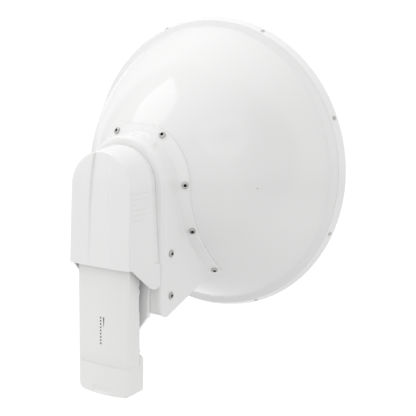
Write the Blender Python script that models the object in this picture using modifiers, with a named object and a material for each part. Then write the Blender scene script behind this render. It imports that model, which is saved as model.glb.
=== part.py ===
"""Small dish antenna with a screwed-on rear housing, a radio unit and its cover.

The shapes are drawn round the dish: its axis is the line x = 0, z = 0, its rim lies in the
plane y = 0, it looks along +Y and its back is towards -Y. An empty carries all pieces, so
that the part's origin is the face of the right side plate between its two bolts.
"""
import math

import bmesh
import bpy
from mathutils import Matrix, Vector

MM = 0.001

# Fits and fineness
GAP = 0.3 * MM
WELD = 0.02 * MM
SAME_PLACE = 0.001 * MM
TURN_STEPS = 64
SMOOTH_ANGLE = 35.0
TURNED_SMOOTH_ANGLE = 25.0

# Reflector bowl
RIM_RADIUS = 189.0 * MM
FOCAL_LENGTH = 45.9 * MM
VERTEX_Y = -184.5 * MM
BOWL_WALL = 2.2 * MM
BOWL_EDGE_RADIUS = 174.5 * MM
BOWL_STEPS = 12
BAND_INNER = Vector((177.0, -15.4)) * MM
BAND_OUTER = Vector((184.1, -11.3)) * MM
BAND_INSIDE = Vector((176.4, -13.2)) * MM
LIP_OUTER_RADIUS = 181.6 * MM
LIP_WALL = 2.0 * MM
LIP_FRONT_Y = -2.6 * MM
LIP_FOOT_Y = -11.7 * MM

# Radome
SKIRT_REAR_RADIUS = 184.5 * MM
SKIRT_REAR_Y = -10.6 * MM
SKIRT_FRONT_Y = -0.4 * MM
SKIRT_INSIDE_Y = -1.4 * MM
RIM_ROUND = Vector((188.3, 1.4)) * MM
DOME_BASE_RADIUS = 186.5 * MM
DOME_BASE_Y = 2.4 * MM
DOME_HEIGHT = 42.6 * MM
DOME_STEPS = 7
RADOME_WALL = 2.4 * MM

# Rim screws
RIM_SCREW_COUNT = 8
RIM_SCREW_Y = -5.0 * MM
RIM_SCREW_HEAD = (6.0 * MM, 1.5 * MM)

# Rear housing and its flange
HOUSING_HALF_WIDTH = 55.5 * MM
HOUSING_BACK_Y = -196.5 * MM
HOUSING_WALL = 3.0 * MM
HOUSING_EDGE_ROUND = 6.5 * MM
HOUSING_EDGE_STEPS = 3
REAR_CORNER_ROUND = 10.5 * MM
REAR_CORNER_STEPS = 5
REAR_CORNER_MARGIN = 5.0 * MM
FLANGE_HALF_WIDTH = 67.5 * MM
FLANGE_THICKNESS = 2.6 * MM
FLANGE_REAR_Y = -190.0 * MM
UNDERSIDE_FRONT = Vector((-97.8, -122.2)) * MM
UNDERSIDE_REAR = Vector((-180.0, -151.5)) * MM
ARCH_STEPS = 24

# Blocks that the housing is cut from, and the room that is cut away in front of the bowl
BLOCK_FRONT_Y = -60.0 * MM
BLOCK_BOTTOM_Z = -190.0 * MM
INSIDE_FRONT_Y = -50.0 * MM
BOWL_ROOM_RADIUS = 160.0 * MM
BOWL_ROOM_FRONT_Y = -20.0 * MM

# Screws on the flange and bolts on the side plates
FLANGE_SCREW_RADIUS = 62.5 * MM
FLANGE_SCREW_SIDE_Z = (0.0, -55.0 * MM, -111.5 * MM)
FLANGE_SCREW_TOP_ANGLE = math.radians(60.0)
FLANGE_SCREW_HEAD = (8.4 * MM, 2.4 * MM)
SIDE_BOLT_Y = -180.0 * MM
SIDE_BOLT_Z = (-78.5 * MM, -128.5 * MM)
SIDE_BOLT_HEAD = (8.2 * MM, 2.0 * MM)
BOLT_SEAT_RADIUS = 5.4 * MM
BOLT_SEAT_DEPTH = 0.4 * MM
BOLT_SEAT_SIDES = 15
HEAD_SIDES = 16
HEAD_ROUND = 0.35
HEAD_SMOOTH_ANGLE = 50.0

# Radio cover, whose sections lie closer together where its lower edge bends
COVER_REAR_GAP = 0.7 * MM
COVER_REAR_Y = HOUSING_BACK_Y - COVER_REAR_GAP
COVER_FRONT_Y_AT_AXIS = -240.4 * MM
COVER_FRONT_LEAN = 0.04
COVER_CROWN = 2.2 * MM
COVER_WALL = 2.2 * MM
COVER_REAR_ARCH = 46.4 * MM
COVER_FRONT_ARCH = 41.3 * MM
COVER_REAR_FOOT_HALF = 51.8 * MM
COVER_FRONT_FOOT_HALF = 41.9 * MM
COVER_FLARE_END_Z = -90.0 * MM
COVER_SLOPE_START = Vector((-238.3, -89.0)) * MM
COVER_SLOPE_END = Vector((-212.5, -113.2)) * MM
COVER_TIP_Y = -203.5 * MM
COVER_TIP_BOTTOM_Z = -116.6 * MM
COVER_TIP_RISE = 3.3 * MM
COVER_EDGE_INSET = 1.3 * MM
COVER_SECTIONS = (0.0, 0.07, 0.135, 0.23, 0.33, 0.88, 0.985)
COVER_SIDE_STEPS = 5
COVER_ARCH_STEPS = 20
COVER_FRONT_COLUMNS = 6
COVER_FOOT_PASSES = 4

# Radio unit
RADIO_HALF_WIDTH = 36.6 * MM
RADIO_FRONT_Y = -235.6 * MM
RADIO_CROWN = 4.4 * MM
RADIO_BACK_Y = -214.6 * MM
RADIO_TOP_Z = -18.0 * MM
RADIO_SEAM_Z = -206.5 * MM
CAP_BACK_Y = -206.3 * MM
CAP_FOOT_TOP_Z = -195.8 * MM
CAP_FOOT_CHAMFER = 4.2 * MM
CAP_BOTTOM_Z = -241.6 * MM
CAP_BOTTOM_SAG = 0.5 * MM
CAP_CORNER_RADIUS = 6.0 * MM
CAP_CORNER_STEPS = 4
CAP_SAG_STEPS = 6
CAP_BLOCK_MARGIN = 5.0 * MM
SHELL_EDGE_ROUND = 2.0 * MM
SHELL_EDGE_STEPS = 2
CROWN_STEPS = 8

# Heat sink and mounting plate behind the radio
PLATE_THICKNESS = 5.4 * MM
PLATE_HALF_WIDTH = 38.2 * MM
PLATE_TOP_Z = -24.0 * MM
PLATE_CHAMFER_Z = -152.0 * MM
PLATE_BOTTOM_HALF = 18.5 * MM
PLATE_BOTTOM_Z = -177.6 * MM
PLATE_EDGE_BEVEL = 0.8 * MM
SINK_HALF_WIDTH = 28.0 * MM
SINK_TOP_Z = -34.0 * MM
SINK_BOTTOM_Z = -194.0 * MM
SINK_BASE = 3.4 * MM
FIN_PITCH = 8.0 * MM
FIN_THICKNESS = 2.6 * MM

ORIGIN = Vector((HOUSING_HALF_WIDTH, SIDE_BOLT_Y, sum(SIDE_BOLT_Z) / 2))


def clear_scene():
    for old in list(bpy.data.objects):
        bpy.data.objects.remove(old, do_unlink=True)


def new_collection(name):
    collection = bpy.data.collections.new(name)
    bpy.context.scene.collection.children.link(collection)
    return collection


def material(name, colour, roughness, metallic=0.0):
    made = bpy.data.materials.new(name)
    made.use_nodes = True
    shader = made.node_tree.nodes["Principled BSDF"]
    shader.inputs["Base Color"].default_value = (*colour, 1.0)
    shader.inputs["Roughness"].default_value = roughness
    shader.inputs["Metallic"].default_value = metallic
    return made


WHITE_PLASTIC = ((0.80, 0.81, 0.81), 0.35, 0.0)
WHITE_PAINT = ((0.82, 0.83, 0.83), 0.25, 0.0)
GREY_CASTING = ((0.55, 0.56, 0.57), 0.45, 0.6)
STAINLESS = ((0.60, 0.60, 0.59), 0.25, 1.0)


def add_object(name, mesh, look, smooth_angle=SMOOTH_ANGLE):
    """Link one sub-part with a material of its own and hang it on the dish frame."""
    mesh.materials.clear()
    mesh.materials.append(material(name + "_material", *look))
    mesh.shade_smooth()
    mesh.set_sharp_from_angle(angle=math.radians(smooth_angle))
    made = bpy.data.objects.new(name, mesh)
    PARTS.objects.link(made)
    made.parent = DISH_FRAME
    return made


def add_guide(name, mesh):
    """Link a cutter or guide, which isn't a part of the model."""
    made = bpy.data.objects.new(name, mesh)
    CUTTERS.objects.link(made)
    made.parent = DISH_FRAME
    made.hide_render = True
    made.display_type = "WIRE"
    return made


def mesh_from(bm, name):
    bmesh.ops.recalc_face_normals(bm, faces=bm.faces)
    mesh = bpy.data.meshes.new(name)
    bm.to_mesh(mesh)
    bm.free()
    return mesh


def prism(outline, axis, start, end):
    """Extrude a closed outline of 2D points along X, Y or Z."""
    along = "XYZ".index(axis)
    bm = bmesh.new()
    corners = []
    for point in outline:
        place = list(point)
        place.insert(along, start)
        corners.append(bm.verts.new(place))
    face = bm.faces.new(corners)
    grown = bmesh.ops.extrude_face_region(bm, geom=[face])
    moved = [item for item in grown["geom"] if isinstance(item, bmesh.types.BMVert)]
    run = Vector((0.0, 0.0, 0.0))
    run[along] = end - start
    bmesh.ops.translate(bm, verts=moved, vec=run)
    bmesh.ops.recalc_face_normals(bm, faces=bm.faces)
    return bm


def turned(name, profile):
    """Turn a profile of (radius, y) points round the dish axis with a Screw modifier."""
    mesh = bpy.data.meshes.new(name)
    points = [(radius, y, 0.0) for radius, y in profile]
    mesh.from_pydata(points, [(i, i + 1) for i in range(len(points) - 1)], [])
    guide = add_guide(name + "_profile", mesh)
    screw = guide.modifiers.new("Turn", "SCREW")
    screw.axis = "Y"
    screw.steps = TURN_STEPS
    screw.render_steps = TURN_STEPS
    screw.use_merge_vertices = True
    screw.merge_threshold = WELD
    solid = solid_mesh(guide, name)
    bpy.data.objects.remove(guide, do_unlink=True)
    return solid


def solid_mesh(source, name):
    """Return the evaluated mesh of an object, welded and with its faces pointing out."""
    bpy.context.view_layer.update()
    graph = bpy.context.evaluated_depsgraph_get()
    evaluated = bpy.data.meshes.new_from_object(source.evaluated_get(graph))
    bm = bmesh.new()
    bm.from_mesh(evaluated)
    bmesh.ops.remove_doubles(bm, verts=bm.verts, dist=WELD)
    bpy.data.meshes.remove(evaluated)
    return mesh_from(bm, name)


def boolean(target, tool, operation):
    change = target.modifiers.new(operation.title(), "BOOLEAN")
    change.operation = operation
    change.solver = "EXACT"
    change.object = tool


def bowl_y(radius):
    """Height of the outer bowl surface along the dish axis."""
    return VERTEX_Y + radius * radius / (4 * FOCAL_LENGTH)


def bowl_normal(radius):
    """Outward normal of the bowl at a radius, as (radial, y)."""
    slope = radius / (2 * FOCAL_LENGTH)
    return Vector((slope, -1.0)).normalized()


def bowl_curve(offset, end_radius=BOWL_EDGE_RADIUS):
    """Points from the axis outwards on the surface that lies an offset outside the bowl."""
    points = []
    for step in range(BOWL_STEPS + 1):
        radius = end_radius * step / BOWL_STEPS
        place = Vector((radius, bowl_y(radius))) + bowl_normal(radius) * offset
        if step == 0:
            place.x = 0.0
        points.append(place)
    return points


def build_reflector():
    """One turned piece: the deep bowl, the band round its edge and the lip inside the radome."""
    outer = bowl_curve(0.0)
    inner = bowl_curve(-BOWL_WALL)
    lip_rear_y = BAND_OUTER.y + GAP
    edge = [
        BAND_INNER,
        BAND_OUTER,
        Vector((BAND_OUTER.x, lip_rear_y)),
        Vector((LIP_OUTER_RADIUS, lip_rear_y)),
        Vector((LIP_OUTER_RADIUS, LIP_FRONT_Y)),
        Vector((LIP_OUTER_RADIUS - LIP_WALL, LIP_FRONT_Y)),
        Vector((LIP_OUTER_RADIUS - LIP_WALL, LIP_FOOT_Y)),
        BAND_INSIDE,
    ]
    profile = outer + edge + inner[::-1]
    return add_object("reflector_bowl", turned("reflector_bowl", profile), WHITE_PAINT, TURNED_SMOOTH_ANGLE)


def dome_curve(wall):
    """Points from the axis outwards on the radome's dome, a wall's thickness inside it."""
    sphere = (DOME_BASE_RADIUS ** 2 + DOME_HEIGHT ** 2) / (2 * DOME_HEIGHT)
    centre_y = DOME_BASE_Y + DOME_HEIGHT - sphere
    opening = math.asin(DOME_BASE_RADIUS / sphere)
    points = []
    for step in range(DOME_STEPS + 1):
        angle = opening * step / DOME_STEPS
        reach = sphere - wall
        points.append(Vector((reach * math.sin(angle), centre_y + reach * math.cos(angle))))
    points[0].x = 0.0
    return points


def build_radome():
    """A shallow dome with a conical skirt that goes round the edge of the bowl."""
    outer = dome_curve(0.0)
    inner = dome_curve(RADOME_WALL)
    edge = [
        RIM_ROUND,
        Vector((RIM_RADIUS, SKIRT_FRONT_Y)),
        Vector((SKIRT_REAR_RADIUS, SKIRT_REAR_Y)),
        Vector((SKIRT_REAR_RADIUS - RADOME_WALL, SKIRT_REAR_Y)),
        Vector((RIM_RADIUS - RADOME_WALL, SKIRT_INSIDE_Y)),
    ]
    profile = outer + edge + inner[::-1]
    return add_object("radome", turned("radome", profile), WHITE_PLASTIC, TURNED_SMOOTH_ANGLE)


def arch_outline(half_width):
    """A round-topped outline of (x, z) points round the dish axis with straight sides."""
    points = [(half_width, BLOCK_BOTTOM_Z)]
    for step in range(ARCH_STEPS + 1):
        angle = math.pi * step / ARCH_STEPS
        points.append((half_width * math.cos(angle), half_width * math.sin(angle)))
    points.append((-half_width, BLOCK_BOTTOM_Z))
    return points


def cut_underside(bm):
    """Cut away what lies below the sloping underside of the housing."""
    run = UNDERSIDE_REAR - UNDERSIDE_FRONT
    down = Vector((0.0, -run.y, run.x)).normalized()
    point = Vector((0.0, UNDERSIDE_FRONT.x, UNDERSIDE_FRONT.y))
    everything = bm.verts[:] + bm.edges[:] + bm.faces[:]
    cut = bmesh.ops.bisect_plane(bm, geom=everything, plane_co=point, plane_no=down, clear_outer=True)
    rim = [item for item in cut["geom_cut"] if isinstance(item, bmesh.types.BMEdge)]
    bmesh.ops.edgeloop_fill(bm, edges=rim)


def space_in_front(name, offset):
    """A solid that fills the room in front of a surface lying an offset behind the bowl."""
    curve = bowl_curve(offset, BOWL_ROOM_RADIUS)
    front = [Vector((curve[-1].x, BOWL_ROOM_FRONT_Y)), Vector((0.0, BOWL_ROOM_FRONT_Y))]
    return add_guide(name, turned(name, curve + front))


def bolt_seats():
    """Shallow seats sunk into the side plates under the bolt heads.

    They have an odd number of sides, so their corners don't mirror each other about the
    middle of the plate, where the origin lies.
    """
    bm = bmesh.new()
    depth = 2 * BOLT_SEAT_DEPTH
    for sign in (1, -1):
        for z in SIDE_BOLT_Z:
            place = Matrix.Translation((sign * HOUSING_HALF_WIDTH, SIDE_BOLT_Y, z))
            bmesh.ops.create_cone(
                bm,
                cap_ends=True,
                segments=BOLT_SEAT_SIDES,
                radius1=BOLT_SEAT_RADIUS,
                radius2=BOLT_SEAT_RADIUS,
                depth=depth,
                matrix=place @ Matrix.Rotation(math.pi / 2, 4, "Y"),
            )
    return add_guide("bolt_seats", mesh_from(bm, "bolt_seats"))


def rear_corner():
    """The waste outside a large round between the housing's back and its underside."""
    run = UNDERSIDE_REAR - UNDERSIDE_FRONT
    slope = run.y / run.x
    centre_y = HOUSING_BACK_Y + REAR_CORNER_ROUND
    line_z = UNDERSIDE_FRONT.y + (centre_y - UNDERSIDE_FRONT.x) * slope
    centre_z = line_z + REAR_CORNER_ROUND * math.hypot(1.0, slope)
    points = []
    for step in range(REAR_CORNER_STEPS + 1):
        angle = (math.pi / 2 + math.atan(slope)) * step / REAR_CORNER_STEPS
        y = centre_y - REAR_CORNER_ROUND * math.cos(angle)
        points.append((y, centre_z - REAR_CORNER_ROUND * math.sin(angle)))
    low = BLOCK_BOTTOM_Z - REAR_CORNER_MARGIN
    back = HOUSING_BACK_Y - REAR_CORNER_MARGIN
    points += [(points[-1][0], low), (back, low), (back, points[0][1])]
    wide = HOUSING_HALF_WIDTH + REAR_CORNER_MARGIN
    return add_guide("rear_corner", mesh_from(prism(points, "X", -wide, wide), "rear_corner"))


def housing_block():
    """The housing's outer form, solid, with its back edges rounded."""
    block = prism(arch_outline(HOUSING_HALF_WIDTH), "Y", HOUSING_BACK_Y, BLOCK_FRONT_Y)
    cut_underside(block)
    back = [e for e in block.edges if all(abs(v.co.y - HOUSING_BACK_Y) < SAME_PLACE for v in e.verts)]
    bmesh.ops.bevel(
        block, geom=back, offset=HOUSING_EDGE_ROUND, segments=HOUSING_EDGE_STEPS, profile=0.5, affect="EDGES"
    )
    return add_guide("housing_block", mesh_from(block, "housing_block"))


def flange_collar():
    """The flange as a solid: an arched collar cut off at its thickness behind the bowl."""
    collar = prism(arch_outline(FLANGE_HALF_WIDTH), "Y", FLANGE_REAR_Y, BLOCK_FRONT_Y)
    cut_underside(collar)
    block = add_guide("flange_block", mesh_from(collar, "flange_block"))
    boolean(block, space_in_front("flange_space", GAP + FLANGE_THICKNESS), "INTERSECT")
    return add_guide("flange_collar", solid_mesh(block, "flange_collar"))


def build_housing():
    """The moulded housing: an arched shell, open below, with a flange that follows the bowl."""
    inside = arch_outline(HOUSING_HALF_WIDTH - HOUSING_WALL)
    room = prism(inside, "Y", HOUSING_BACK_Y + HOUSING_WALL, INSIDE_FRONT_Y)
    block = housing_block()
    boolean(block, flange_collar(), "UNION")
    boolean(block, add_guide("housing_room", mesh_from(room, "housing_room")), "DIFFERENCE")
    boolean(block, space_in_front("bowl_space", GAP), "DIFFERENCE")
    boolean(block, bolt_seats(), "DIFFERENCE")
    boolean(block, rear_corner(), "DIFFERENCE")
    return add_object("rear_housing", solid_mesh(block, "rear_housing"), WHITE_PLASTIC)


def screw_head(name, place, direction, size):
    """A round screw head whose underside rests on a point, with its axis along a direction."""
    diameter, height = size
    bm = bmesh.new()
    bmesh.ops.create_cone(
        bm, cap_ends=True, segments=HEAD_SIDES, radius1=diameter / 2, radius2=diameter / 2, depth=height
    )
    bmesh.ops.translate(bm, verts=bm.verts, vec=Vector((0, 0, height / 2 + GAP)))
    top = [e for e in bm.edges if all(v.co.z > height for v in e.verts)]
    bmesh.ops.bevel(bm, geom=top, offset=height * HEAD_ROUND, segments=1, affect="EDGES")
    made = add_object(name, mesh_from(bm, name), STAINLESS, HEAD_SMOOTH_ANGLE)
    made.location = place
    made.rotation_euler = direction.to_track_quat("Z", "Y").to_euler()
    return made


def build_rim_screws():
    """Radial screws through the radome's skirt."""
    skirt = Vector((SKIRT_REAR_RADIUS - RIM_RADIUS, SKIRT_REAR_Y))
    share = RIM_SCREW_Y / SKIRT_REAR_Y
    radius = (RIM_RADIUS + share * skirt.x) * math.cos(math.pi / TURN_STEPS)
    out = Vector((-skirt.y, skirt.x)).normalized()
    for index in range(RIM_SCREW_COUNT):
        angle = 2 * math.pi * (index + 0.5) / RIM_SCREW_COUNT
        spoke = Vector((math.cos(angle), 0.0, math.sin(angle)))
        place = spoke * radius + Vector((0.0, RIM_SCREW_Y, 0.0))
        direction = spoke * out.x + Vector((0.0, out.y, 0.0))
        place += direction * GAP
        screw_head(f"rim_screw_{index + 1}", place, direction, RIM_SCREW_HEAD)


def build_flange_screws():
    """Screws that hold the flange on the bowl, in mirrored pairs from top to bottom."""
    top_x = FLANGE_SCREW_RADIUS * math.cos(FLANGE_SCREW_TOP_ANGLE)
    top_z = FLANGE_SCREW_RADIUS * math.sin(FLANGE_SCREW_TOP_ANGLE)
    rows = [(top_x, top_z)] + [(FLANGE_SCREW_RADIUS, z) for z in FLANGE_SCREW_SIDE_Z]
    for row, (x, z) in enumerate(rows, start=1):
        for side, sign in (("right", 1), ("left", -1)):
            radius = math.hypot(x, z)
            normal = bowl_normal(radius)
            direction = Vector((sign * x / radius * normal.x, normal.y, z / radius * normal.x))
            lift = FLANGE_THICKNESS + 2 * GAP
            place = Vector((sign * x, bowl_y(radius), z)) + direction * lift
            screw_head(f"flange_screw_{side}_{row}", place, direction, FLANGE_SCREW_HEAD)


def build_side_bolts():
    """Two bolts through each side plate, where the pole bracket is fastened."""
    for side, sign in (("right", 1), ("left", -1)):
        for level, z in zip(("upper", "lower"), SIDE_BOLT_Z):
            place = Vector((sign * (HOUSING_HALF_WIDTH - BOLT_SEAT_DEPTH), SIDE_BOLT_Y, z))
            screw_head(f"side_bolt_{side}_{level}", place, Vector((sign, 0, 0)), SIDE_BOLT_HEAD)


def cover_bottom(y):
    """Lower edge of the cover's side at a depth: level, a slope down, then a rounded rear tip."""
    if y <= COVER_SLOPE_END.x:
        share = max((y - COVER_SLOPE_START.x) / (COVER_SLOPE_END.x - COVER_SLOPE_START.x), 0.0)
        return COVER_SLOPE_START.y + share * (COVER_SLOPE_END.y - COVER_SLOPE_START.y)
    if y <= COVER_TIP_Y:
        share = (y - COVER_SLOPE_END.x) / (COVER_TIP_Y - COVER_SLOPE_END.x)
        return COVER_SLOPE_END.y + math.sin(share * math.pi / 2) * (COVER_TIP_BOTTOM_Z - COVER_SLOPE_END.y)
    share = (y - COVER_TIP_Y) / (COVER_REAR_Y - COVER_TIP_Y)
    return COVER_TIP_BOTTOM_Z + COVER_TIP_RISE * share * share


def cover_half_width(share, z):
    """Half-width of the cover: share runs from 0 at the housing to 1 at the front face."""
    flare = min(max(z / COVER_FLARE_END_Z, 0.0), 1.0)
    rear = COVER_REAR_ARCH + flare * (COVER_REAR_FOOT_HALF - COVER_REAR_ARCH)
    front = COVER_FRONT_ARCH + flare * (COVER_FRONT_FOOT_HALF - COVER_FRONT_ARCH)
    return rear + share * (front - rear)


def cover_outline(share):
    """One section of the cover as (x, y, z) points, from the left foot over the arch."""
    arch = COVER_REAR_ARCH + share * (COVER_FRONT_ARCH - COVER_REAR_ARCH)

    def depth(z):
        front = COVER_FRONT_Y_AT_AXIS + COVER_FRONT_LEAN * z
        return COVER_REAR_Y + share * (front - COVER_REAR_Y)

    bottom = COVER_SLOPE_START.y
    for _ in range(COVER_FOOT_PASSES):
        bottom = cover_bottom(depth(bottom))
    levels = [bottom * (1 - step / COVER_SIDE_STEPS) for step in range(COVER_SIDE_STEPS)]
    left = [(-cover_half_width(share, z), depth(z), z) for z in levels]
    turn = [math.pi * (1 - step / COVER_ARCH_STEPS) for step in range(COVER_ARCH_STEPS + 1)]
    over = [(arch * math.cos(a), depth(arch * math.sin(a)), arch * math.sin(a)) for a in turn]
    right = [(-x, y, z) for x, y, z in reversed(left)]
    return left + over + right


def cover_front_edge():
    """The edge of the cover's front face, drawn in a little from the last section."""
    shrink = 1 - COVER_EDGE_INSET / COVER_FRONT_ARCH
    return [(x * shrink, y, z * shrink if z > 0 else z) for x, y, z in cover_outline(1.0)]


def crowned_front(bm, edge):
    """Close the cover's front edge with rows that bulge towards the middle."""
    middle = len(edge) // 2
    columns = COVER_FRONT_COLUMNS
    rows = []
    for i in range(middle):
        left = edge[i].co
        row = [edge[i]]
        for column in range(1, columns):
            share = 2 * column / columns - 1
            bulge = COVER_CROWN * (1 - share * share)
            row.append(bm.verts.new((-left.x * share, left.y - bulge, left.z)))
        row.append(edge[len(edge) - 1 - i])
        rows.append(row)
    for low, high in zip(rows, rows[1:]):
        for c in range(columns):
            bm.faces.new((low[c], low[c + 1], high[c + 1], high[c]))
    for c in range(columns):
        bm.faces.new((rows[-1][c], rows[-1][c + 1], edge[middle]))


def build_cover():
    """The round-topped cover over the radio: lofted sides and a crowned front, open below."""
    bm = bmesh.new()
    sections = [cover_outline(share) for share in COVER_SECTIONS] + [cover_front_edge()]
    rings = [[bm.verts.new(point) for point in section] for section in sections]
    for low, high in zip(rings, rings[1:]):
        for i in range(len(low) - 1):
            bm.faces.new((low[i], low[i + 1], high[i + 1], high[i]))
    crowned_front(bm, rings[-1])
    cover = add_object("radio_cover", mesh_from(bm, "radio_cover"), WHITE_PLASTIC)
    shell = cover.modifiers.new("Wall", "SOLIDIFY")
    shell.thickness = COVER_WALL
    shell.offset = -1.0
    shell.use_even_offset = True
    return cover


def radio_plan(back_y):
    """Plan of the radio: a crowned front between rounded corners, as (x, y) points."""
    corner = SHELL_EDGE_ROUND
    points = [(RADIO_HALF_WIDTH, back_y), (RADIO_HALF_WIDTH, RADIO_FRONT_Y + corner)]
    inner = RADIO_HALF_WIDTH - corner
    for step in range(CROWN_STEPS + 1):
        share = 1 - 2 * step / CROWN_STEPS
        points.append((inner * share, RADIO_FRONT_Y - RADIO_CROWN * (1 - share * share)))
    points += [(-RADIO_HALF_WIDTH, RADIO_FRONT_Y + corner), (-RADIO_HALF_WIDTH, back_y)]
    return points


def cap_face():
    """Front view of the cap, with rounded lower corners and a sagging edge, as (x, z) points."""
    corner = CAP_CORNER_RADIUS
    centre = Vector((RADIO_HALF_WIDTH - corner, CAP_BOTTOM_Z + corner))
    right = [(RADIO_HALF_WIDTH, RADIO_TOP_Z)]
    for step in range(CAP_CORNER_STEPS + 1):
        angle = -math.pi / 2 * step / CAP_CORNER_STEPS
        right.append((centre.x + corner * math.cos(angle), centre.y + corner * math.sin(angle)))
    left = [(-x, z) for x, z in reversed(right)]
    sagging = []
    for step in range(1, CAP_SAG_STEPS):
        share = 1 - 2 * step / CAP_SAG_STEPS
        sagging.append((centre.x * share, CAP_BOTTOM_Z - CAP_BOTTOM_SAG * (1 - share * share)))
    return right + sagging + left


def build_radio_shell():
    """The radio's front shell, rounded at its top, which goes up under the cover."""
    bm = prism(radio_plan(RADIO_BACK_Y), "Z", RADIO_SEAM_Z + GAP, RADIO_TOP_Z)
    top = [e for e in bm.edges if all(abs(v.co.z - RADIO_TOP_Z) < SAME_PLACE for v in e.verts)]
    bmesh.ops.bevel(
        bm, geom=top, offset=SHELL_EDGE_ROUND, segments=SHELL_EDGE_STEPS, profile=0.5, affect="EDGES"
    )
    add_object("radio_shell", mesh_from(bm, "radio_shell"), WHITE_PLASTIC)


def build_bottom_cap():
    """The deeper cap that closes the radio's lower end, with a foot behind the shell."""
    front = RADIO_FRONT_Y - RADIO_CROWN - CAP_BLOCK_MARGIN
    back = CAP_BACK_Y + CAP_BLOCK_MARGIN
    low = CAP_BOTTOM_Z - CAP_BOTTOM_SAG - CAP_BLOCK_MARGIN
    wide = RADIO_HALF_WIDTH + CAP_BLOCK_MARGIN
    side = [
        (front, RADIO_SEAM_Z),
        (RADIO_BACK_Y + GAP, RADIO_SEAM_Z),
        (RADIO_BACK_Y + GAP, CAP_FOOT_TOP_Z),
        (CAP_BACK_Y - CAP_FOOT_CHAMFER, CAP_FOOT_TOP_Z),
        (CAP_BACK_Y, CAP_FOOT_TOP_Z - CAP_FOOT_CHAMFER),
        (CAP_BACK_Y, low),
        (front, low),
    ]
    plan = prism(radio_plan(back), "Z", low, RADIO_TOP_Z)
    face = prism(cap_face(), "Y", front, back)
    side_view = prism(side, "X", -wide, wide)
    cap = add_object("radio_bottom_cap", mesh_from(side_view, "radio_bottom_cap"), WHITE_PLASTIC)
    boolean(cap, add_guide("cap_plan", mesh_from(plan, "cap_plan")), "INTERSECT")
    boolean(cap, add_guide("cap_face", mesh_from(face, "cap_face")), "INTERSECT")


def build_heat_sink():
    """Cross fins on the back of the radio, which stand on the mounting plate."""
    front = RADIO_BACK_Y + GAP
    root = front + SINK_BASE
    tip = HOUSING_BACK_Y - GAP - PLATE_THICKNESS - GAP
    points = [(front, SINK_TOP_Z)]
    z = SINK_TOP_Z
    while z - FIN_THICKNESS > SINK_BOTTOM_Z:
        points += [(tip, z), (tip, z - FIN_THICKNESS)]
        if z - FIN_PITCH - FIN_THICKNESS > SINK_BOTTOM_Z:
            points += [(root, z - FIN_THICKNESS), (root, z - FIN_PITCH)]
        z -= FIN_PITCH
    points.append((front, points[-1][1]))
    bm = prism(points, "X", -SINK_HALF_WIDTH, SINK_HALF_WIDTH)
    add_object("radio_heat_sink", mesh_from(bm, "radio_heat_sink"), GREY_CASTING)


def build_mount_plate():
    """The plate on the back of the housing that carries the radio."""
    rear = HOUSING_BACK_Y - GAP
    outline = [
        (PLATE_HALF_WIDTH, PLATE_TOP_Z),
        (PLATE_HALF_WIDTH, PLATE_CHAMFER_Z),
        (PLATE_BOTTOM_HALF, PLATE_BOTTOM_Z),
        (-PLATE_BOTTOM_HALF, PLATE_BOTTOM_Z),
        (-PLATE_HALF_WIDTH, PLATE_CHAMFER_Z),
        (-PLATE_HALF_WIDTH, PLATE_TOP_Z),
    ]
    bm = prism(outline, "Y", rear - PLATE_THICKNESS, rear)
    bmesh.ops.bevel(bm, geom=bm.edges[:], offset=PLATE_EDGE_BEVEL, segments=1, affect="EDGES")
    add_object("radio_mount_plate", mesh_from(bm, "radio_mount_plate"), WHITE_PLASTIC)


clear_scene()
PARTS = new_collection("dish_antenna")
CUTTERS = new_collection("cutters")
DISH_FRAME = bpy.data.objects.new("dish_frame", None)
CUTTERS.objects.link(DISH_FRAME)
DISH_FRAME.location = -ORIGIN

build_reflector()
build_radome()
build_rim_screws()
build_housing()
build_flange_screws()
build_side_bolts()
build_cover()
build_radio_shell()
build_bottom_cap()
build_heat_sink()
build_mount_plate()
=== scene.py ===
"""Looks of the small dish antenna: fine shapes, finishes, floor, light and camera.

Shapes are drawn in the dish's own frame: its axis is the line x = 0, z = 0, its rim lies in
the plane y = 0, it looks along +Y. Each finished mesh is then moved to the part's frame.
"""
import math

import bmesh
import bpy
from mathutils import Matrix, Vector


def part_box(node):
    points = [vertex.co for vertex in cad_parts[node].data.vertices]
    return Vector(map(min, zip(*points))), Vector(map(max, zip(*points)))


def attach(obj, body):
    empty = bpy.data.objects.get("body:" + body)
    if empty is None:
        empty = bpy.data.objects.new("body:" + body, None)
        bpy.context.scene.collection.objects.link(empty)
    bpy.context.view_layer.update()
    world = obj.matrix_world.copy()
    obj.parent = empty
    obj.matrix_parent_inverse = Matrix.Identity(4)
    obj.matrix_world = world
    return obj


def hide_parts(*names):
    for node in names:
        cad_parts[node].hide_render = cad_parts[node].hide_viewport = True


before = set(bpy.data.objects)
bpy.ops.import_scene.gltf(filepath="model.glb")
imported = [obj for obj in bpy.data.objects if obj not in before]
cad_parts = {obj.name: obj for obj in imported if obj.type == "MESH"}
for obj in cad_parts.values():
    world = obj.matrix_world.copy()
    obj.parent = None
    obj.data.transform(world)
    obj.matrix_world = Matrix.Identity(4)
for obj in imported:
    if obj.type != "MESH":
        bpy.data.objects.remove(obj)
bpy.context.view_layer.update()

MM = 0.001

# Fits and fineness
GAP = 0.3 * MM
SAME_PLACE = 0.002 * MM
SMOOTH_ANGLE = math.radians(32.0)
ROUND_STEPS = 8

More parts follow.
